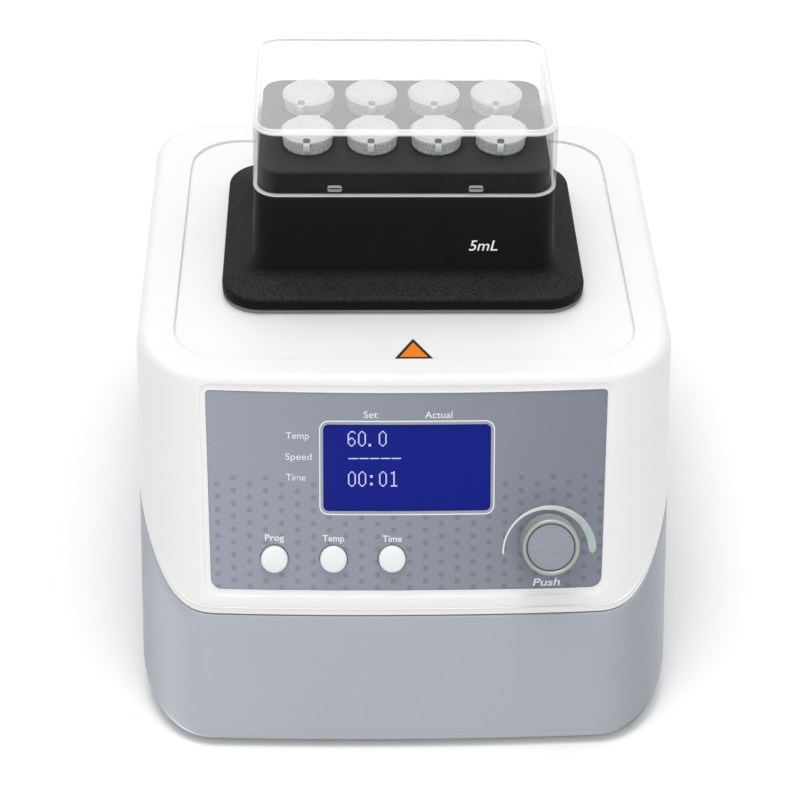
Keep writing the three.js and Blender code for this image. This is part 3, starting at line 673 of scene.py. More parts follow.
def ray_hit(point, half_x, half_y, radius, cy):
    """Where the line from the recess's middle towards a point crosses a rounded rectangle."""
    centre = Vector((0, RECESS["cy"]))
    way = Vector((point[0], point[1])) - centre
    low, high = 0.0, 1.4
    for _ in range(34):
        middle = (low + high) / 2
        at = centre + way * middle
        if box_distance(at.x, at.y, half_x, half_y, radius, cy) < 0:
            low = middle
        else:
            high = middle
    return centre + way * low


BEND_REACH, BEND_HALF = 30, 73  # how far down and to each side the bend of the panel's upper edge reaches


def panel_loop(margin, top_bend=0.0):
    """The control panel's outline, grown by a margin, anticlockwise seen from outside: (x, s) pairs."""
    top, foot = PANEL["top"] - margin, PANEL["foot"] + margin
    high, low = PANEL["half"] + margin, PANEL["foot_half"] + margin
    r_top, r_foot = max(0.4, 1.4 + margin), max(1.0, 4.0 + margin * 0.8)
    made = []

    def arc(cx, cs, radius, start):
        for k in range(9):
            angle = math.radians(start + 90 * k / 8)
            made.append((cx + radius * math.cos(angle), cs - radius * math.sin(angle)))

    def run(end, count):
        a = made[-1]
        for k in range(1, count):
            made.append((a[0] + (end[0] - a[0]) * k / count, a[1] + (end[1] - a[1]) * k / count))

    arc(low - r_foot, foot - r_foot, r_foot, -90)
    run((high, top + r_top), 16)
    arc(high - r_top, top + r_top, r_top, 0)
    run((-high + r_top, top), 30)
    arc(-high + r_top, top + r_top, r_top, 90)
    run((-low, foot - r_foot), 16)
    arc(-low + r_foot, foot - r_foot, r_foot, 180)
    run((low - r_foot, foot), 30)
    bent = []
    for x, s in made:
        share = max(0.0, (BEND_REACH - s) / BEND_REACH)
        bent.append((x, s + top_bend * share * (1 - (x / BEND_HALF) ** 2)))
    return bent


BUTTONS = {key: middle_mm(f"button_{key}").x for key in ("prog", "temp", "time")}
BUTTON_S = 66.6
BUTTON_R = 4.9
KNOB_S = (TOP_Z - KNOB_AT.z) / COS
KNOB_X = KNOB_AT.x


def window_outline(grow, radius, steps=6, along=(8, 16)):
    """The display window's outline, grown on every side: (x, s) pairs."""
    return rounded(WINDOW["x"] + grow, WINDOW["half"] + grow, radius, 0, WINDOW["middle"], steps, along)


def panel_ring(skin, outline, depth):
    return skin.ring([panel_point(x, s, depth) for x, s in outline])


def panel_holes(grow):
    holes = [window_outline(grow, WINDOW["r"] + grow)]
    holes += [circle(BUTTON_R + 0.3 + grow, x, BUTTON_S, 40) for x in BUTTONS.values()]
    holes.append(circle(4.0 + grow, KNOB_X, KNOB_S, 32))
    return holes


GRID_X, GRID_S = 4.1, 4.0  # spacing of the points that hold a sheet to the bow


def sheet(skin, outer, holes, depth, outer_ids=None):
    """A film or ledge that follows the bowed front."""
    loops = [(outer_ids or panel_ring(skin, outer, depth), [(x, -s) for x, s in outer])]
    loops += [(panel_ring(skin, hole, depth), [(x, -s) for x, s in hole]) for hole in holes]
    edge = [p for _, points in loops for p in points]
    grid = [(i * GRID_X, -j * GRID_S) for i in range(-17, 18) for j in range(2, 20)]
    inner = [(x, v) for x, v in grid if all((x - px) ** 2 + (v - pv) ** 2 > 4 for px, pv in edge)]
    skin.patch(loops, lambda p: panel_point(p.x, -p.y, depth), inner)


# ------------------------------------------------------------------ upper housing


EDGE_STEPS = 9  # faces round each housing's long edges


def edge_arcs(z, drops, sizes, start, end):
    """Each column's round edge between the wall and the plane z. An end is 0 on the wall, 1 on the plane."""
    made = []
    for i, (drop, size) in enumerate(zip(drops, sizes)):
        ends = [inset_point(i, z + drop, 0), inset_point(i, z, size)]
        made.append(fillet(ends[start], inset_point(i, z, 0), ends[end], EDGE_STEPS))
    return made


# The edge of the recess and of the block's seat: (margin outside the outline, height below the top).
RECESS_EDGE = [
    (1.2, 0), (0.6, 0), (0.38, -0.04), (0.18, -0.16), (0.05, -0.34), (0, -0.58),
    (-0.03, -1.05), (-0.12, -1.28), (-0.34, -1.44), (-0.7, -1.5), (-1.3, -1.5),
]
SEAT_EDGE = [(0.6, -1.5), (0.1, -1.5), (0, -1.7), (0, -2.4)]
# The panel's surround, from its crest down to the ledge that holds the film: (margin, depth).
SURROUND = [
    (2.6, 0), (2.45, 0.05), (2.3, 0.17), (2.15, 0.28), (1.95, 0.34), (1.4, 0.42), (0.72, 0.5), (0.6, 0.49),
    (0.5, 0.44), (0.35, 0.4), (0.22, 0.41), (0.14, 0.5), (0.1, 0.7), (0.1, 1.32),
]
PANEL_BOW = 0.62  # how far the panel's upper edge bows down in the middle


def upper_shell():
    skin = Skin()
    seams = [seam_z(i) + JOINT_GAP for i in range(len(COLUMNS))]
    z_down, edge_seam = TOP_Z - DOWN_S * COS, seams[FRONT_COLUMNS[-1]]
    starts = [z_down if c[0] == "front" else z_down + seam - edge_seam for c, seam in zip(COLUMNS, seams)]
    sizes = [edge_size(c, UP_S, 6.0, 6.0) for c in COLUMNS]
    drops = [-edge_size(c, UP_S * COS, 6.0, 6.0) for c in COLUMNS]
    ends = [TOP_Z + drop for drop in drops]
    rows = [
        wall_ring(skin, [seam + lift for seam in seams], inset)
        for inset, lift in ((1.2, 0.0), (0.42, 0.0), (0.22, 0.06), (0.06, 0.22), (0.0, 0.5))
    ]
    first, steps = len(rows), 12
    rows += [wall_ring(skin, between(starts, ends, k / steps), 0) for k in range(steps + 1)]
    last = first + steps
    arcs = edge_arcs(TOP_Z, drops, sizes, 0, 1)
    rows += [skin.ring([arc[k] for arc in arcs]) for k in range(1, EDGE_STEPS + 1)]
    rows.append(wall_ring(skin, [TOP_Z] * len(COLUMNS), [size + 0.5 for size in sizes]))
    for edge, place, grow_r, cy in ((RECESS_EDGE, RECESS, 1, RECESS["cy"]), (SEAT_EDGE, SEAT, 0, BLOCK_Y)):
        for margin, z in edge:
            shape = (place["x"] + margin, place["y"] + margin, place["r"] + margin * grow_r, cy)
            hits = [ray_hit(arc[-1], *shape) for arc in arcs]
            rows.append(skin.ring([(h.x, h.y, TOP_Z + z) for h in hits]))
    skin.stack(rows, set(FRONT_COLUMNS[:-1]), first, last)
    loop = gap_loop(rows, FRONT_COLUMNS, first, last)
    flat = [(skin.points[i][0], -(TOP_Z - skin.points[i][2]) / COS) for i in loop]
    crest = SURROUND[0][0]
    rings = [
        panel_ring(skin, panel_loop(margin, PANEL_BOW * (1 - margin / crest)), depth)
        for margin, depth in SURROUND
    ]
    skin.patch([(loop, flat), (rings[0], [(x, -s) for x, s in panel_loop(crest)])])
    skin.stack(rings)
    sheet(skin, panel_loop(0.1, 0.6), panel_holes(0.35), SURROUND[-1][1], rings[-1])
    stands_for = ["upper_housing"]
    skin.to_object("upper_housing_shell", "white_plastic", "housing", stands_for, "white_plastic", 40, SHELL)


def lower_shell():
    skin = Skin()
    seams = [seam_z(i) - JOINT_GAP for i in range(len(COLUMNS))]
    sizes = [edge_size(c, 1.2, 11.0, 4.0) for c in COLUMNS]
    arcs = edge_arcs(BASE_Z, sizes, sizes, 1, 0)
    rows = [wall_ring(skin, [BASE_Z] * len(COLUMNS), [size + 0.6 for size in sizes])]
    rows += [skin.ring([arc[k] for arc in arcs]) for k in range(EDGE_STEPS + 1)]
    steps, low = 10, len(rows)
    starts, ends = [BASE_Z + size for size in sizes], [seam - 0.5 for seam in seams]
    rows += [wall_ring(skin, between(starts, ends, k / steps), 0) for k in range(1, steps + 1)]
    for inset, drop in ((0.06, 0.22), (0.22, 0.06), (0.42, 0.0), (1.2, 0.0)):
        rows.append(wall_ring(skin, [seam - drop for seam in seams], inset))
    high = low + 7
    skin.stack(rows, set(BACK_COLUMNS[:-1]), low, high)
    # rear wall with its openings: inlet, switch and vents
    loop = gap_loop(rows, BACK_COLUMNS, low, high)
    loops = [(loop, [(-skin.points[i][0], skin.points[i][2]) for i in loop])]
    inlet, switch = middle_mm("mains_inlet"), middle_mm("switch_frame")
    openings = [rounded(23.5, 12.5, 1.2, -inlet.x, inlet.z, 3), rounded(9.8, 7, 0.8, -switch.x, inlet.z, 3)]
    openings += [rounded(1.5, 12, 1.49, -(32 + 7 * k), inlet.z, 6) for k in range(6)]
    loops += [(skin.ring([(-u, BACK_Y, v) for u, v in hole]), hole) for hole in openings]
    skin.patch(loops)
    # floor with its vents
    slots = [rounded(25, 1.6, 1.59, 0, 70 - 8 * k, 6) for k in range(6)]
    floor = [(rows[0], [(skin.points[i][0], -skin.points[i][1]) for i in rows[0]])]
    skin.patch(floor + [(skin.ring([(u, -v, BASE_Z) for u, v in slot]), slot) for slot in slots])
    skin.to_object("lower_housing_shell", "grey_paint", "housing", ["lower_housing"], "grey_paint", 40, SHELL)


upper_shell()
lower_shell()


# ------------------------------------------------------------------ control panel

FILM = 0.72  # depth of the printed film below the white surround
LENS_RINGS = [(0.2, 3.4), (0.2, 1.62), (0.1, 1.52), (-0.2, 1.5)]  # (growth of the outline, depth)


def flat_point(x, s, depth):
    """A point on the flat plane of the sloping front, which the bow touches in the middle."""
    return Vector((x, FRONT_TOP_Y - s * SIN, TOP_Z - s * COS)) - OUT * depth


def control_panel():
    film = Skin()
    sheet(film, panel_loop(-0.02, 0.6), panel_holes(0.0), FILM)
    film.to_object("panel_film", "panel_film", "housing", ["panel_overlay"], "panel_film", 40, 0.5)
    lens = Skin()
    outlines = [window_outline(grow, 2)[::-1] for grow, _ in LENS_RINGS]
    rings = [
        lens.ring([flat_point(x, s, depth) for x, s in outline])
        for outline, (_, depth) in zip(outlines, LENS_RINGS)
    ]
    lens.stack(rings)
    lens.patch([(rings[-1], [(x, -s) for x, s in outlines[-1]])])
    lens.patch([(rings[0], [(x, -s) for x, s in outlines[0]])], flip=True)
    lens.to_object("display_window", "display_blue", "housing", ["display_lens"], "display_blue", 30)
    digits()
    band("display_border", -0.01, 1.0, 0.70, "display_surround")
    band("display_line", 1.0, 1.42, 0.66, "print_white")
    crescent()
    for number, label in enumerate(LABELS):
        label_print(number, *label)


GLYPHS = {
    "0": "..XX.. .X..X. X....X X....X X....X X....X X....X X....X X....X X....X .X..X. ..XX..",
    "6": "..XXX. .X...X X..... X..... X..... X.XX.. XX..X. X....X X....X X....X .X..X. ..XX..",
    "1": "...X.. .XXX.. ...X.. ...X.. ...X.. ...X.. ...X.. ...X.. ...X.. ...X.. ...X.. .XXXXX",
    ".": "...... ...... ...... ...... ...... ...... ...... ...... ...... ...... XX.... XX....",
    ":": "...... ...... ...... .XX... .XX... ...... ...... ...... ...... .XX... .XX... ......",
}
# words, x, s, height of a capital, width, boldness, slant
LABELS = [
    ("Set", -13.2, 13.5, 2.45, 5.1, 0.0, 0),
    ("Actual", 11.4, 13.6, 2.45, 9.9, 0.0, 0),
    ("Temp", -39.7, 21.3, 2.4, 8.4, 0.0, 0),
    ("Speed", -39.35, 29.0, 2.4, 9.5, 0.0, 0),
    ("Time", -40.35, 36.6, 2.4, 7.1, 0.0, 0),
    ("Prog", -48.2, 59.0, 2.35, 7.0, 0.012, 0),
    ("Temp", -26.8, 59.1, 2.35, 7.9, 0.012, 0),
    ("Time", -5.4, 59.2, 2.35, 7.0, 0.012, 0),
    ("Push", 51.4, 76.1, 2.7, 9.8, 0.014, 0.21),
]
CELL = {"pitch": 0.47, "lit": 0.94, "letter": 3.76, "depth": 1.46}  # the display's dots and letters
DASH = {"count": 5, "x": -21.3, "pitch": 3.92, "length": 3.45, "s": 29.48, "height": 0.36}


def digits():
    skin = Skin()

    def cell(x, s, width, height):
        corners = ((x, s + height), (x + width, s + height), (x + width, s), (x, s))
        skin.faces.append(tuple(skin.ring([flat_point(u, v, CELL["depth"]) for u, v in corners])))

    lit = CELL["pitch"] * CELL["lit"]
    for words, x, s in (("60.0", -21.5, 19.6), ("00:01", -21.4, 34.4)):
        for number, letter in enumerate(words):
            for j, line in enumerate(GLYPHS[letter].split()):
                for i in (i for i, mark in enumerate(line) if mark == "X"):
                    at_x = x + number * CELL["letter"] + i * CELL["pitch"]
                    cell(at_x, s + j * CELL["pitch"], lit, lit)
    for k in range(DASH["count"]):
        cell(DASH["x"] + DASH["pitch"] * k, DASH["s"], DASH["length"], DASH["height"])
    skin.to_object("display_digits", "display_digit", "housing", (), "display_blue", 30, 0.03)


def band(name, inner, outer, depth, look):
    """A printed line round the window."""
    skin = Skin()
    outlines = [window_outline(grow, max(0.3, WINDOW["r"] + grow), 8, (10, 20)) for grow in (outer, inner)]
    skin.stack([panel_ring(skin, outline[::-1], depth) for outline in outlines])
    skin.to_object(name, look, "housing", (), "panel_film", 40, 0.05)


ARC_OUTSIDE, ARC_INSIDE = (52.2, 64.9, 17.3), (51.0, 64.7, 15.5)  # two circles: (x, s, radius)
ARC_START, ARC_TURN = 183.2, 186.6


def crescent():
    """The tapering arc printed above the knob."""
    skin = Skin()
    steps = 60
    rows = [[], [], []]
    for k in range(steps + 1):
        t = k / steps
        angle = math.radians(ARC_START - ARC_TURN * t)
        outside, inside = (
            Vector((x + radius * math.cos(angle), s - radius * math.sin(angle)))
            for x, s, radius in (ARC_OUTSIDE, ARC_INSIDE)
        )
        end = min(1.0, (1 - t) * 16, t * 60)  # below 1 where the ends are rounded off
        half_width = math.sqrt(max(0.0, 1 - (1 - end) ** 2)) * 0.45 + 0.05 if end < 1 else 0.5
        for row, side in zip(rows, (1, 0, -1)):
            p = (outside + inside) / 2 + (outside - inside) * side * half_width
            row.append(panel_point(p.x, p.y, FILM - (0.1 if side == 0 else 0.06)))
    ids = [skin.ring(row) for row in rows]
    skin.strip(ids[0], ids[1], False)
    skin.strip(ids[1], ids[2], False)
    skin.to_object("knob_arc", "arc_silver", "housing", (), "panel_film", 60, 0.05)


CAPITAL = 0.69  # height of a capital in the font, for a size of 1


def lettering(name, words, size, width, bold, slant, place, look, body, slot):
    """Printed words, from a plain font. The function place takes a point across and up from their middle."""
    curve = bpy.data.curves.new("words", "FONT")
    curve.body, curve.size, curve.offset, curve.resolution_u = words, 1.0, bold, 6
    holder = linked("words", curve)
    mesh = applied(holder)
    bpy.data.objects.remove(holder)
    xs = [v.co.x for v in mesh.vertices]
    scale_x = width / (max(xs) - min(xs))
    centre = (max(xs) + min(xs)) / 2
    for v in mesh.vertices:
        up = (v.co.y / CAPITAL - 0.5) * size
        u = (v.co.x - centre) * scale_x + up * slant
        v.co = Vector(place(u, up)) * MM
    finish_piece(linked(name, mesh), look, body, (), slot, 40, 0.04)


def label_print(number, words, x, s, *style):
    def place(u, v):
        return panel_point(x + u, s - v, FILM - 0.05)

    name = f"print_{words.lower()}_{number}"
    lettering(name, words, *style, place, "print_white", "housing", "panel_film")


control_panel()


def on_panel(x, s):
    """Places a turned piece on the front, its axis along the panel's normal."""
    base = flat_point(x, s, 0)
    right = Vector((1, 0, 0))
    up = OUT.cross(right)
    return lambda p: base + right * p[0] + up * p[1] + OUT * p[2]


def button(key):
    x = BUTTONS[key]
    fall = BOW * COS * x * x
    profile = [
        (0, -4.4), (2.2, -4.4), (2.2, -4), (6.2, -4), (6.2, -2.9), (BUTTON_R, -2.9), (BUTTON_R, 0.7),
        (BUTTON_R - 0.35, 1.25), (BUTTON_R - 1.2, 1.5), (2.0, 1.66), (0, 1.7),
    ]
    profile = [(r, h - fall) for r, h in smooth_profile(profile, 0.45, 4)]
    skin = lathe(profile, 72, on_panel(x, BUTTON_S))
    stands_for = [f"button_{key}"]
    skin.to_object(f"button_{key}_cap", "button_white", f"{key}_button", stands_for, "white_plastic", 40)


for key in BUTTONS:
    button(key)


def knob():
    place = on_panel(KNOB_X, KNOB_S)
    profile = [
        (0, 8.5), (2.9, 8.5), (2.9, 3.4), (4.4, 3.4), (4.4, 8.2), (8.8, 8.2), (9.1, 1.9), (10.3, 1.9),
        (10.7, 2.4), (10.42, 10.6), (10.28, 11.18), (9.95, 11.52), (9.6, 11.6), (9.2, 11.5), (8.85, 11.1),
        (8.72, 10.6), (8.7, 10.1), (0, 10.1),
    ]
    skin = lathe(smooth_profile(profile, 0.28, 3), 112, place)
    skin.to_object("knob_body", "knob_metal", "knob_turned", ["knob"], "knob_metal", 40)
    disc = [(0, 10.35), (8.4, 10.35), (8.46, 10.5), (8.46, 10.82), (8.25, 10.98), (0, 11.0)]
    skin = lathe(smooth_profile(disc, 0.12, 3), 96, place)
    skin.to_object("knob_disc_face", "knob_disc", "knob_turned", ["knob_insert"], "knob_disc", 40)


knob()


# ------------------------------------------------------------------ block, tubes and lid

LIP_R = 9.5  # the lip is the foremost part of a tube's CAD solid
TUBES = range(1, 9)
WELLS = [(middle_mm(f"tube_{n}").x, box_mm(f"tube_{n}")[0].y + LIP_R) for n in TUBES]
FLANGE_X = (BLOCK_HIGH.x - BLOCK_LOW.x) / 2
FLANGE_Y = (BLOCK_HIGH.y - BLOCK_LOW.y) / 2
FLANGE_R = 15.0
DECK_Z = BLOCK_HIGH.z
# The flange's round edge, upwards: (inset, depth under the deck).
FLANGE_EDGE = [
    (0.7, 51.7), (0.3, 51.6), (0.05, 51.3), (0, 50.9), (0, 48.2), (0.1, 47.75), (0.4, 47.3), (1.0, 46.9),
]
# The cover above it: (half width, half depth, corner radius, depth under the deck).
COVER = [
    (66.8, 47.1, 13.6, 46.5), (61.6, 42.0, 12.5, 45.0), (60.0, 40.4, 11.6, 44.25), (58.8, 39.2, 10.8, 43.3),
    (58.0, 38.4, 10.3, 42.1), (57.5, 37.9, 10.0, 40.7), (56.7, 37.05, 9.5, 25.9), (55.9, 36.2, 9.05, 10.5),
    (55.75, 36.05, 8.95, 10.15), (55.4, 35.75, 8.8, 9.9), (54.3, 35.0, 8.3, 9.9), (54.1, 34.8, 8.2, 9.7),
    (53.9, 34.6, 8.0, 1.2), (53.8, 34.5, 7.9, 0.75), (53.5, 34.2, 7.6, 0.3), (53.1, 33.8, 7.2, 0.08),
    (52.6, 33.3, 6.8, 0), (52.0, 32.7, 6.4, 0),
]
CAVITY = (50.0, 30.0, 5.0)
HOLE = [(9.5, 0), (9.2, 0.06), (8.98, 0.28), (8.9, 0.6), (8.9, 4.2)]  # (radius, depth) of each tube's hole


def block():
    skin = Skin()

    def level(half_x, half_y, radius, depth):
        outline = rounded(half_x, half_y, radius, 0, BLOCK_Y, 12, (10, 14))
        return skin.ring([(x, y, DECK_Z - depth) for x, y in outline]), outline

    levels = [level(*CAVITY, FLANGE_EDGE[0][1])]
    levels += [level(FLANGE_X - a, FLANGE_Y - a, FLANGE_R - a, depth) for a, depth in FLANGE_EDGE]
    levels += [level(*row) for row in COVER]
    skin.stack([ids for ids, _ in levels])
    top, bottom = [levels[-1]], []
    for x, y in WELLS:
        hole = [(circle(radius, x, y), DECK_Z - depth) for radius, depth in HOLE]
        rings = [skin.ring([(px, py, z) for px, py in outline]) for outline, z in hole]
        skin.stack(rings)
        top.append((rings[0], hole[0][0]))
        bottom.append((rings[-1], hole[-1][0]))
    skin.patch(top)
    ceiling = level(*CAVITY, HOLE[-1][1])
    skin.patch([ceiling, *bottom], flip=True)
    skin.strip(ceiling[0], levels[0][0])
    skin.to_object("block_cover", "block_black", "block", ["block_shroud"], "black_plastic", 34)


block()

MARK = {"x": 29.95, "depth": 30.4, "proud": 0.02}  # middle of the volume mark, under the deck


def block_mark():
    low, high = COVER[5:7]  # the rows of the cover's tall wall

    def place(u, v):
        depth = MARK["depth"] - v
        half_y = low[1] + (high[1] - low[1]) * (low[3] - depth) / (low[3] - high[3])
        return (MARK["x"] + u, BLOCK_Y - half_y - MARK["proud"], DECK_Z - depth)

    lettering("block_mark", "5mL", 4.4, 10.7, 0.004, 0.2, place, "print_bright", "block", "black_plastic")


block_mark()


def bar(skin, low, high, edge_r, turn):
    """Adds a rounded bar between two corners."""
    (x0, y0, z0), (x1, y1, z1) = low, high
    cx, cy = (x0 + x1) / 2, (y0 + y1) / 2
    hx, hy = (x1 - x0) / 2, (y1 - y0) / 2
    rings = []
    r = min(edge_r, hx * 0.9, hy * 0.9, (z1 - z0) * 0.45)
    edge = [(r, 0), (r * 0.3, r * 0.3), (0, r)]
    lower, upper = [(a, z0 + b) for a, b in edge], [(a, z1 - b) for a, b in reversed(edge)]
    for inset, z in lower + upper:
        outline = rounded(hx - inset, hy - inset, max(0.05, r * 1.2 - inset * 0.6), cx, cy, 3)
        rings.append((skin.ring([turn((x, y, z)) for x, y in outline]), outline))
    close_off(skin, rings)


def close_off(skin, rings):
    """Joins (indices, outline) rings and fills both ends."""
    skin.stack([ids for ids, _ in rings])
    skin.patch([rings[-1]])
    skin.patch([rings[0]], flip=True)


# Heights above the tube's foot.
TUBE = smooth_profile([
    (0, 0), (1.8, 0), (8, 14.6), (8.3, 50.6), (9.2, 50.6), (9.2, 53), (9.45, 53.2), (9.45, 53.8), (7.4, 53.8),
    (7.1, 15.4), (1.1, 1.3), (0, 1.3),
], 0.15, 2)
CAP = smooth_profile([
    (0, 52.3), (6.5, 52.3), (6.7, 54.1), (9.4, 54.1), (9.85, 54.3), (9.85, 55.45), (9.95, 55.6),
    (9.95, 55.9), (8.5, 57.02), (8.2, 57.1), (7.3, 57.1), (7.15, 56.8), (6.95, 56.8), (6.8, 56.95),
    (5.35, 56.95), (5.2, 56.7), (5, 56.7), (4.85, 56.82), (0, 56.82),
], 0.12, 2)
SHOULDER_R, SHOULDER_Z, SHOULDER_SLOPE = 8.5, 57.02, 0.772  # the cap's sloping shoulder


def notches(profile, low, high, depth, period, width):
    """A ripple that cuts teeth into a profile's outer wall between two heights."""
    rows = [k for k, (r, z) in enumerate(profile) if low < z < high and r > 9]
    return lambda number, k: -depth if number in rows and k % period < width else 0.0


def tube(n, x, y, yaw):
    foot = box_mm(f"tube_{n}")[0].z
    cy, sy = math.cos(yaw), math.sin(yaw)

    def turn(p):
        return (x + p[0] * cy - p[1] * sy, y + p[0] * sy + p[1] * cy, p[2] + foot)

    def piece(skin, name, look, body, stands_for):
        skin.to_object(f"tube_{n}_{name}", look, body, stands_for, "tube_plastic", 34)

    skin = lathe(TUBE, 96, turn, notches(TUBE, 50.7, 53.1, 1.0, 4, 2))
    bar(skin, (-4.2, 8.3, 52.5), (4.2, 12.05, 53.8), 0.3, turn)
    piece(skin, "body_shell", "tube_plastic", f"tube_{n}_body", [f"tube_{n}"])
    skin = lathe(CAP, 120, turn, notches(CAP, 54.0, 55.5, 0.6, 3, 1))
    bar(skin, (-4.2, 8.6, 54.15), (4.2, 12.1, 55.3), 0.35, turn)
    bar(skin, (-1.3, -11.1, 52.8), (1.3, -9.3, 55.8), 0.3, turn)
    piece(skin, "cap_shell", "tube_plastic", f"cap_{n}_body", [f"tube_cap_{n}"])
    mark = Skin()
    rings = []
    for inset, lift in ((0, -0.3), (0, 0.03), (0.1, 0.07)):  # an oval lying on the cap's sloping shoulder
        outline = rounded(1.35 - inset, 0.7 - inset, 0.65 - inset, 0, -9.1, 5)
        fall = [SHOULDER_SLOPE * (math.hypot(*p) - SHOULDER_R) for p in outline]
        points = [turn((*p, SHOULDER_Z - drop + lift)) for p, drop in zip(outline, fall)]
        rings.append((mark.ring(points), outline))
    close_off(mark, rings)
    piece(mark, "cap_mark", "mark_grey", f"cap_{n}_body", ())


MOST_TURNED, MOST_TURN, TURN = 5, -17, 5  # one tube is turned further than the others, in degrees
for n, (x, y) in zip(TUBES, WELLS):
    tube(n, x, y, math.radians(MOST_TURN if n == MOST_TURNED else rng.uniform(-TURN, TURN)))


LID_RADIUS = 9.5
CLEAR = 0.005  # milkiness of the tall walls, with no painted glint
# From the rim up the outside to the top: (inset, height above the rim, milkiness with painted glint). The
# rim's round edge is painted white for its glint.
LID_WALL = [(0.35, 0, 0.75), (0.05, 0.1, 0.8), (0, 0.35, 0.55), (0.02, 0.8, CLEAR)]
# (inset, depth under the top, milkiness with painted glint): painted glints on the round top edge, a painted
# reflection on the flat top
LID_TOP = [
    (0.65, 2.0, CLEAR), (0.7, 1.8, 0.35), (0.82, 1.45, 0.8), (1.1, 0.9, 0.95), (1.5, 0.45, 0.55),
    (2.0, 0.15, 0.8), (2.45, 0, 0.33), (3.2, 0, 0.29),
]
# Inside, down from the ceiling, then up from the rim: (inset, depth under the top or height above the rim,
# milkiness with painted glint on the round edges).
LID_CEILING = [(4.2, 1.75, 0.16), (3.0, 1.85, 0.25), (2.4, 2.3, 0.15), (2.2, 3.2, CLEAR)]
LID_INSIDE = [(1.55, 0.8, CLEAR), (1.5, 0.35, 0.5), (1.2, 0, 0.75)]
SLOT = {"x": 26, "up": 3.2, "x_half": 2.5, "z_half": 0.75, "r": 0.7, "edge": 0.2}


def lid():
    skin = Skin()
    low, high = LID_LOW.z, LID_HIGH.z
    half_x, half_y = (LID_HIGH.x - LID_LOW.x) / 2, (LID_HIGH.y - LID_LOW.y) / 2

    def level(inset, z, haze_and_glint):
        radius = LID_RADIUS - inset
        outline = rounded(half_x - inset, half_y - inset, radius, 0, BLOCK_Y, 12, (10, 16))
        ids = []
        for x, y in outline:
            end = max(0.0, min(1.0, (abs(x) - half_x + 9) / 6))
            ends_glint = 0.02 * end if haze_and_glint < 0.2 else 0  # the clear parts are painted a little whiter at the ends, a painted highlight near the corners
            ids.append(skin.add((x, y, z), min(1, haze_and_glint + ends_glint)))
        return ids, outline

    outside = [level(a, low + up, haze_and_glint) for a, up, haze_and_glint in LID_WALL]
    outside += [level(a, high - down, haze_and_glint) for a, down, haze_and_glint in LID_TOP]
    skin.patch([outside[-1]])
    inside = [level(a, high - down, haze_and_glint) for a, down, haze_and_glint in LID_CEILING]
    inside += [level(a, low + up, haze_and_glint) for a, up, haze_and_glint in LID_INSIDE]
    skin.patch([inside[0]], flip=True)
    outer_row, inner_row = len(LID_WALL) - 1, len(LID_CEILING) - 1  # the rows where the tall walls start
    outline = outside[0][1]
    count = len(outline)
    # the straight stretches of front and back, where the slots are, from left to right as seen from outside
    stretches, skipped = [], set()
    for side in (-1, 1):
        on_side = [i for i in range(count) if side * (outline[i][1] - BLOCK_Y) > half_y - 0.5]
        stretch = sorted(on_side, key=lambda i: -side * outline[i][0])[2:-2]
        skipped |= {a if (a + 1) % count == b else b for a, b in zip(stretch, stretch[1:])}
        stretches.append((stretch, side))
    outer, inner = [ids for ids, _ in outside], [ids for ids, _ in inside]
    skin.stack(outer, skipped, outer_row, outer_row + 1)
    skin.stack(inner, skipped, inner_row, inner_row + 1)
    skin.strip(inner[-1], outer[0])
    walls = [(outer[outer_row], outer[outer_row + 1], False), (inner[inner_row + 1], inner[inner_row], True)]
    for stretch, side in stretches:
        tunnels = [slotted_wall(skin, stretch, side, low + SLOT["up"], *wall_rows) for wall_rows in walls]
        for outer_end, inner_end in zip(*tunnels):
            skin.strip(outer_end, inner_end)
    skin.to_object("lid_cover", "clear_plastic", "lid", ["lid"], "clear_plastic", 50)


def slotted_wall(skin, stretch, side, z, lower, upper, flip):
    """Fills a tall wall's stretch round its two slots, and gives the slots' edges."""
    loop = [lower[i] for i in stretch] + [upper[i] for i in reversed(stretch)]
    (y0, z0), (y1, z1) = (skin.points[row[stretch[0]]][1:] for row in (lower, upper))

    def on_wall(outline, haze_and_glint):
        return [skin.add((-side * u, y0 + (y1 - y0) * (v - z0) / (z1 - z0), v), haze_and_glint) for u, v in outline]

    loops = [(loop, [(-side * skin.points[i][0], skin.points[i][2]) for i in loop])]
    edges = []
    for x in (-SLOT["x"], SLOT["x"]):
        hole, wide = (
            rounded(SLOT["x_half"] + grow, SLOT["z_half"] + grow, SLOT["r"] + grow, -side * x, z, 5)
            for grow in (0, SLOT["edge"])
        )
        # The slots' edges are painted white for their glints.
        milky_glint, clear = on_wall(hole, 0.6), on_wall(wide, CLEAR)
        skin.strip(*((milky_glint, clear) if flip else (clear, milky_glint)))
        loops.append((clear, wide))
        edges.append(milky_glint)
    skin.patch(loops, flip=flip)
    return edges


lid()


# ------------------------------------------------------------------ label, feet and the CAD pieces that stay


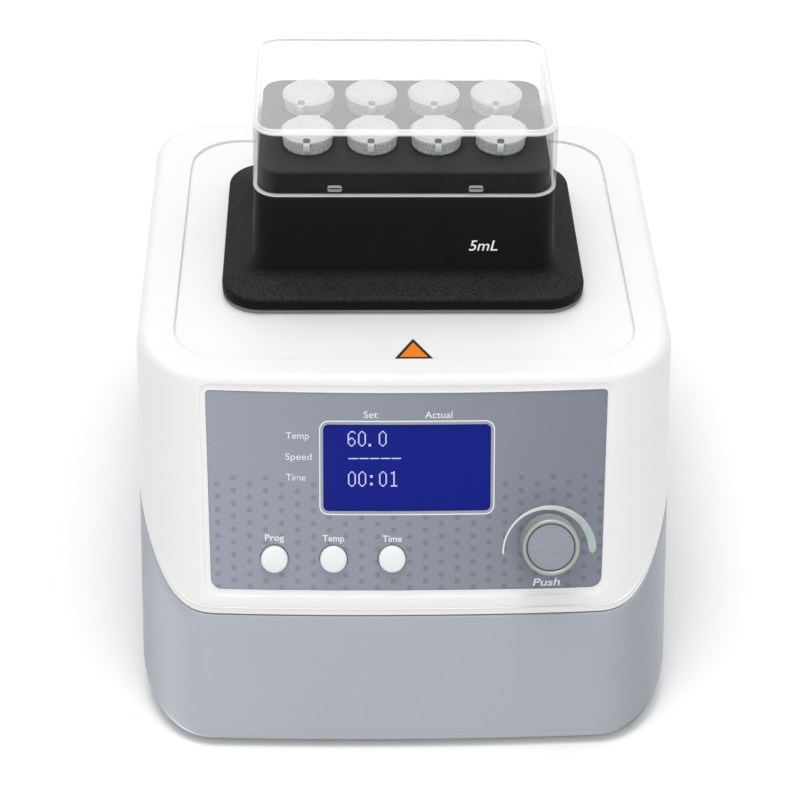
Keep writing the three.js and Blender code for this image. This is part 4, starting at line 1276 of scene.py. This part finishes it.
def label():
    side = LABEL_HIGH.x - LABEL_LOW.x
    height = side * math.sin(math.pi / 3)
    centre = Vector((middle_mm("hot_surface_label").x, LABEL_LOW.y + height / 3))

    def triangle(inset, radius):
        points = []
        reach = side / math.sqrt(3) - 2 * inset
        for k in range(3):
            out = math.radians(-150 + 120 * k)
            tip = centre + Vector((math.cos(out), math.sin(out))) * (reach - 2 * radius)
            for j in range(7):
                angle = out + math.radians(-60 + 20 * j)
                points.append(tuple(tip + Vector((math.cos(angle), math.sin(angle))) * radius))
        return points

    for name, inset, radius, top, look, stands_for in (
        ("label_border", 0.0, 0.3, LABEL_HIGH.z - 0.05, "dark_print", ["hot_surface_label"]),
        ("label_field", 1.2, 0.15, LABEL_HIGH.z, "orange_print", []),
    ):
        skin = Skin()
        outline = triangle(inset, radius)
        close_off(skin, [(skin.ring([(x, y, z) for x, y in outline]), outline) for z in (LABEL_LOW.z, top)])
        skin.to_object(name, look, "housing", stands_for, "label_orange", 40)


label()

FOOT = smooth_profile([(0, 0), (6.9, 0), (8, 0.9), (8, 2.7), (3.1, 2.7), (3.1, 12), (0, 12)], 0.35, 3)


def foot(n):
    at = middle_mm(f"foot_{n}")
    skin = lathe(FOOT, 48, lambda p: (p[0] + at.x, p[1] + at.y, p[2]))
    skin.to_object(f"foot_{n}_pad", "rubber", "housing", [f"foot_{n}"], "rubber", 40)


for n in range(1, 5):
    foot(n)

KEPT = [
    ("display_blue", "lcd_module"),
    ("circuit_board", "display_board power_board"),
    ("black_plastic", "switch_prog switch_temp switch_time encoder_plunger plate_carrier"),
    ("black_plastic", "mains_inlet fuse_drawer switch_frame power_rocker"),
    ("steel", "encoder_body encoder_shaft thermal_cutout temperature_sensor"),
    ("steel", "housing_screw_1 housing_screw_2 housing_screw_3 housing_screw_4"),
    ("aluminium", "heating_plate tube_block heat_sink"),
    ("grey_rubber", "seat_seal ribbon_cable"),
    ("insulation", "insulation_pad"),
    ("heater_film", "heater_film"),
    ("copper_core", "transformer"),
]
BEVELLED = "mains_inlet fuse_drawer switch_frame power_rocker heat_sink transformer plate_carrier".split()


def dress(name, look):
    node = frame["nodes"][name]
    node.data.materials.clear()
    node.data.materials.append(LOOKS[look])
    if name in BEVELLED:
        weld = node.modifiers.new("weld", "WELD")
        weld.merge_threshold = 0.00001
        edge = node.modifiers.new("bevel", "BEVEL")
        edge.width, edge.segments, edge.limit_method = 0.00035, 2, "ANGLE"
        edge.angle_limit = math.radians(35)


for look, names in KEPT:
    for name in names.split():
        dress(name, look)


# ------------------------------------------------------------------ floor, light and camera


FLOOR_RADIUS = 40000


def floor():
    skin = Skin()
    outline = circle(FLOOR_RADIUS, 0, 0, 96)
    skin.patch([(skin.ring([(x, y, 0) for x, y in outline]), outline)])
    piece = linked("floor", skin.to_mesh("floor"))
    look = Look("floor", (0.88, 0.88, 0.88), 0.9).vary(0.004, 2).bump(0.02, 300)
    piece.data.materials.append(look.material)


floor()


def area_light(name, place, target, size, power):
    data = bpy.data.lights.new(name, "AREA")
    data.shape, data.size, data.energy = "DISK", size, power
    lamp = linked(name, data)
    lamp.location = place
    lamp.rotation_mode = "QUATERNION"
    lamp.rotation_quaternion = (Vector(target) - Vector(place)).to_track_quat("-Z", "Y")


area_light("key", (-0.1, 0.25, 1.6), (0, 0, 0.08), 0.9, 11)
area_light("strip", (-0.35, -1.15, 0.5), (-0.05, -0.05, 0.08), 0.35, 0.6)


def studio():
    """A white surround, brighter overhead and in front, and dimmer at both sides."""
    world = bpy.data.worlds.new("studio")
    world.use_nodes = True
    bpy.context.scene.world = world
    tree = world.node_tree
    coords = tree.nodes.new("ShaderNodeTexCoord")

    def lobe(direction, power, weight):
        dot = tree.nodes.new("ShaderNodeVectorMath")
        dot.operation = "DOT_PRODUCT"
        dot.inputs[1].default_value = Vector(direction).normalized()
        tree.links.new(coords.outputs["Generated"], dot.inputs[0])
        last = dot.outputs["Value"]
        for operation, value in (("MAXIMUM", 0.0), ("POWER", power), ("MULTIPLY", weight)):
            step = tree.nodes.new("ShaderNodeMath")
            step.operation = operation
            step.inputs[1].default_value = value
            tree.links.new(last, step.inputs[0])
            last = step.outputs[0]
        return last

    total = None
    for part in (lobe(*row) for row in WORLD_LOBES):
        step = tree.nodes.new("ShaderNodeMath")
        step.operation = "ADD"
        step.inputs[1].default_value = WORLD_LEVEL
        if total is not None:
            tree.links.new(total, step.inputs[1])
        tree.links.new(part, step.inputs[0])
        total = step.outputs[0]
    tree.links.new(total, tree.nodes["Background"].inputs["Strength"])
    tree.nodes["Background"].inputs["Color"].default_value = (1, 1, 1, 1)


WORLD_LEVEL = 0.52
# Patches of the surround: where they are, how narrow, and what they add to the level.
WORLD_LOBES = [
    ((0, 0, 1), 1.0, 0.5), ((0, -0.8, 0.6), 4.0, 0.28), ((-0.6, -0.8, 0.0), 6.0, 0.25),
    ((-1, 0.25, 0), 3.0, -0.5), ((1, 0.25, 0), 3.0, -0.2), ((0.75, -0.65, 0), 3.0, -0.08),
]
studio()
bpy.context.scene.view_settings.view_transform = "Standard"

# The photograph's viewpoint, in metres, degrees and millimetres of focal length.
CAMERA = {"at": (-0.02409, -0.63072, 0.55863), "pitch": 38.08, "yaw": 2.162, "roll": 1.175, "lens": 90.18}


def camera():
    data = bpy.data.cameras.new("camera")
    data.sensor_width, data.lens = 36, CAMERA["lens"]
    data.clip_start, data.clip_end = 0.01, 50
    eye = linked("camera", data)
    pitch, yaw, roll = (math.radians(CAMERA[key]) for key in ("pitch", "yaw", "roll"))
    ahead = Vector((math.sin(yaw) * math.cos(pitch), math.cos(yaw) * math.cos(pitch), -math.sin(pitch)))
    level = Vector((math.cos(yaw), -math.sin(yaw), 0))
    above = level.cross(ahead)
    right = level * math.cos(roll) + above * math.sin(roll)
    up = above * math.cos(roll) - level * math.sin(roll)
    turned = Matrix((right, up, -ahead)).transposed()
    eye.matrix_world = Matrix.Translation(CAMERA["at"]) @ turned.to_4x4()
    bpy.context.scene.camera = eye


camera()
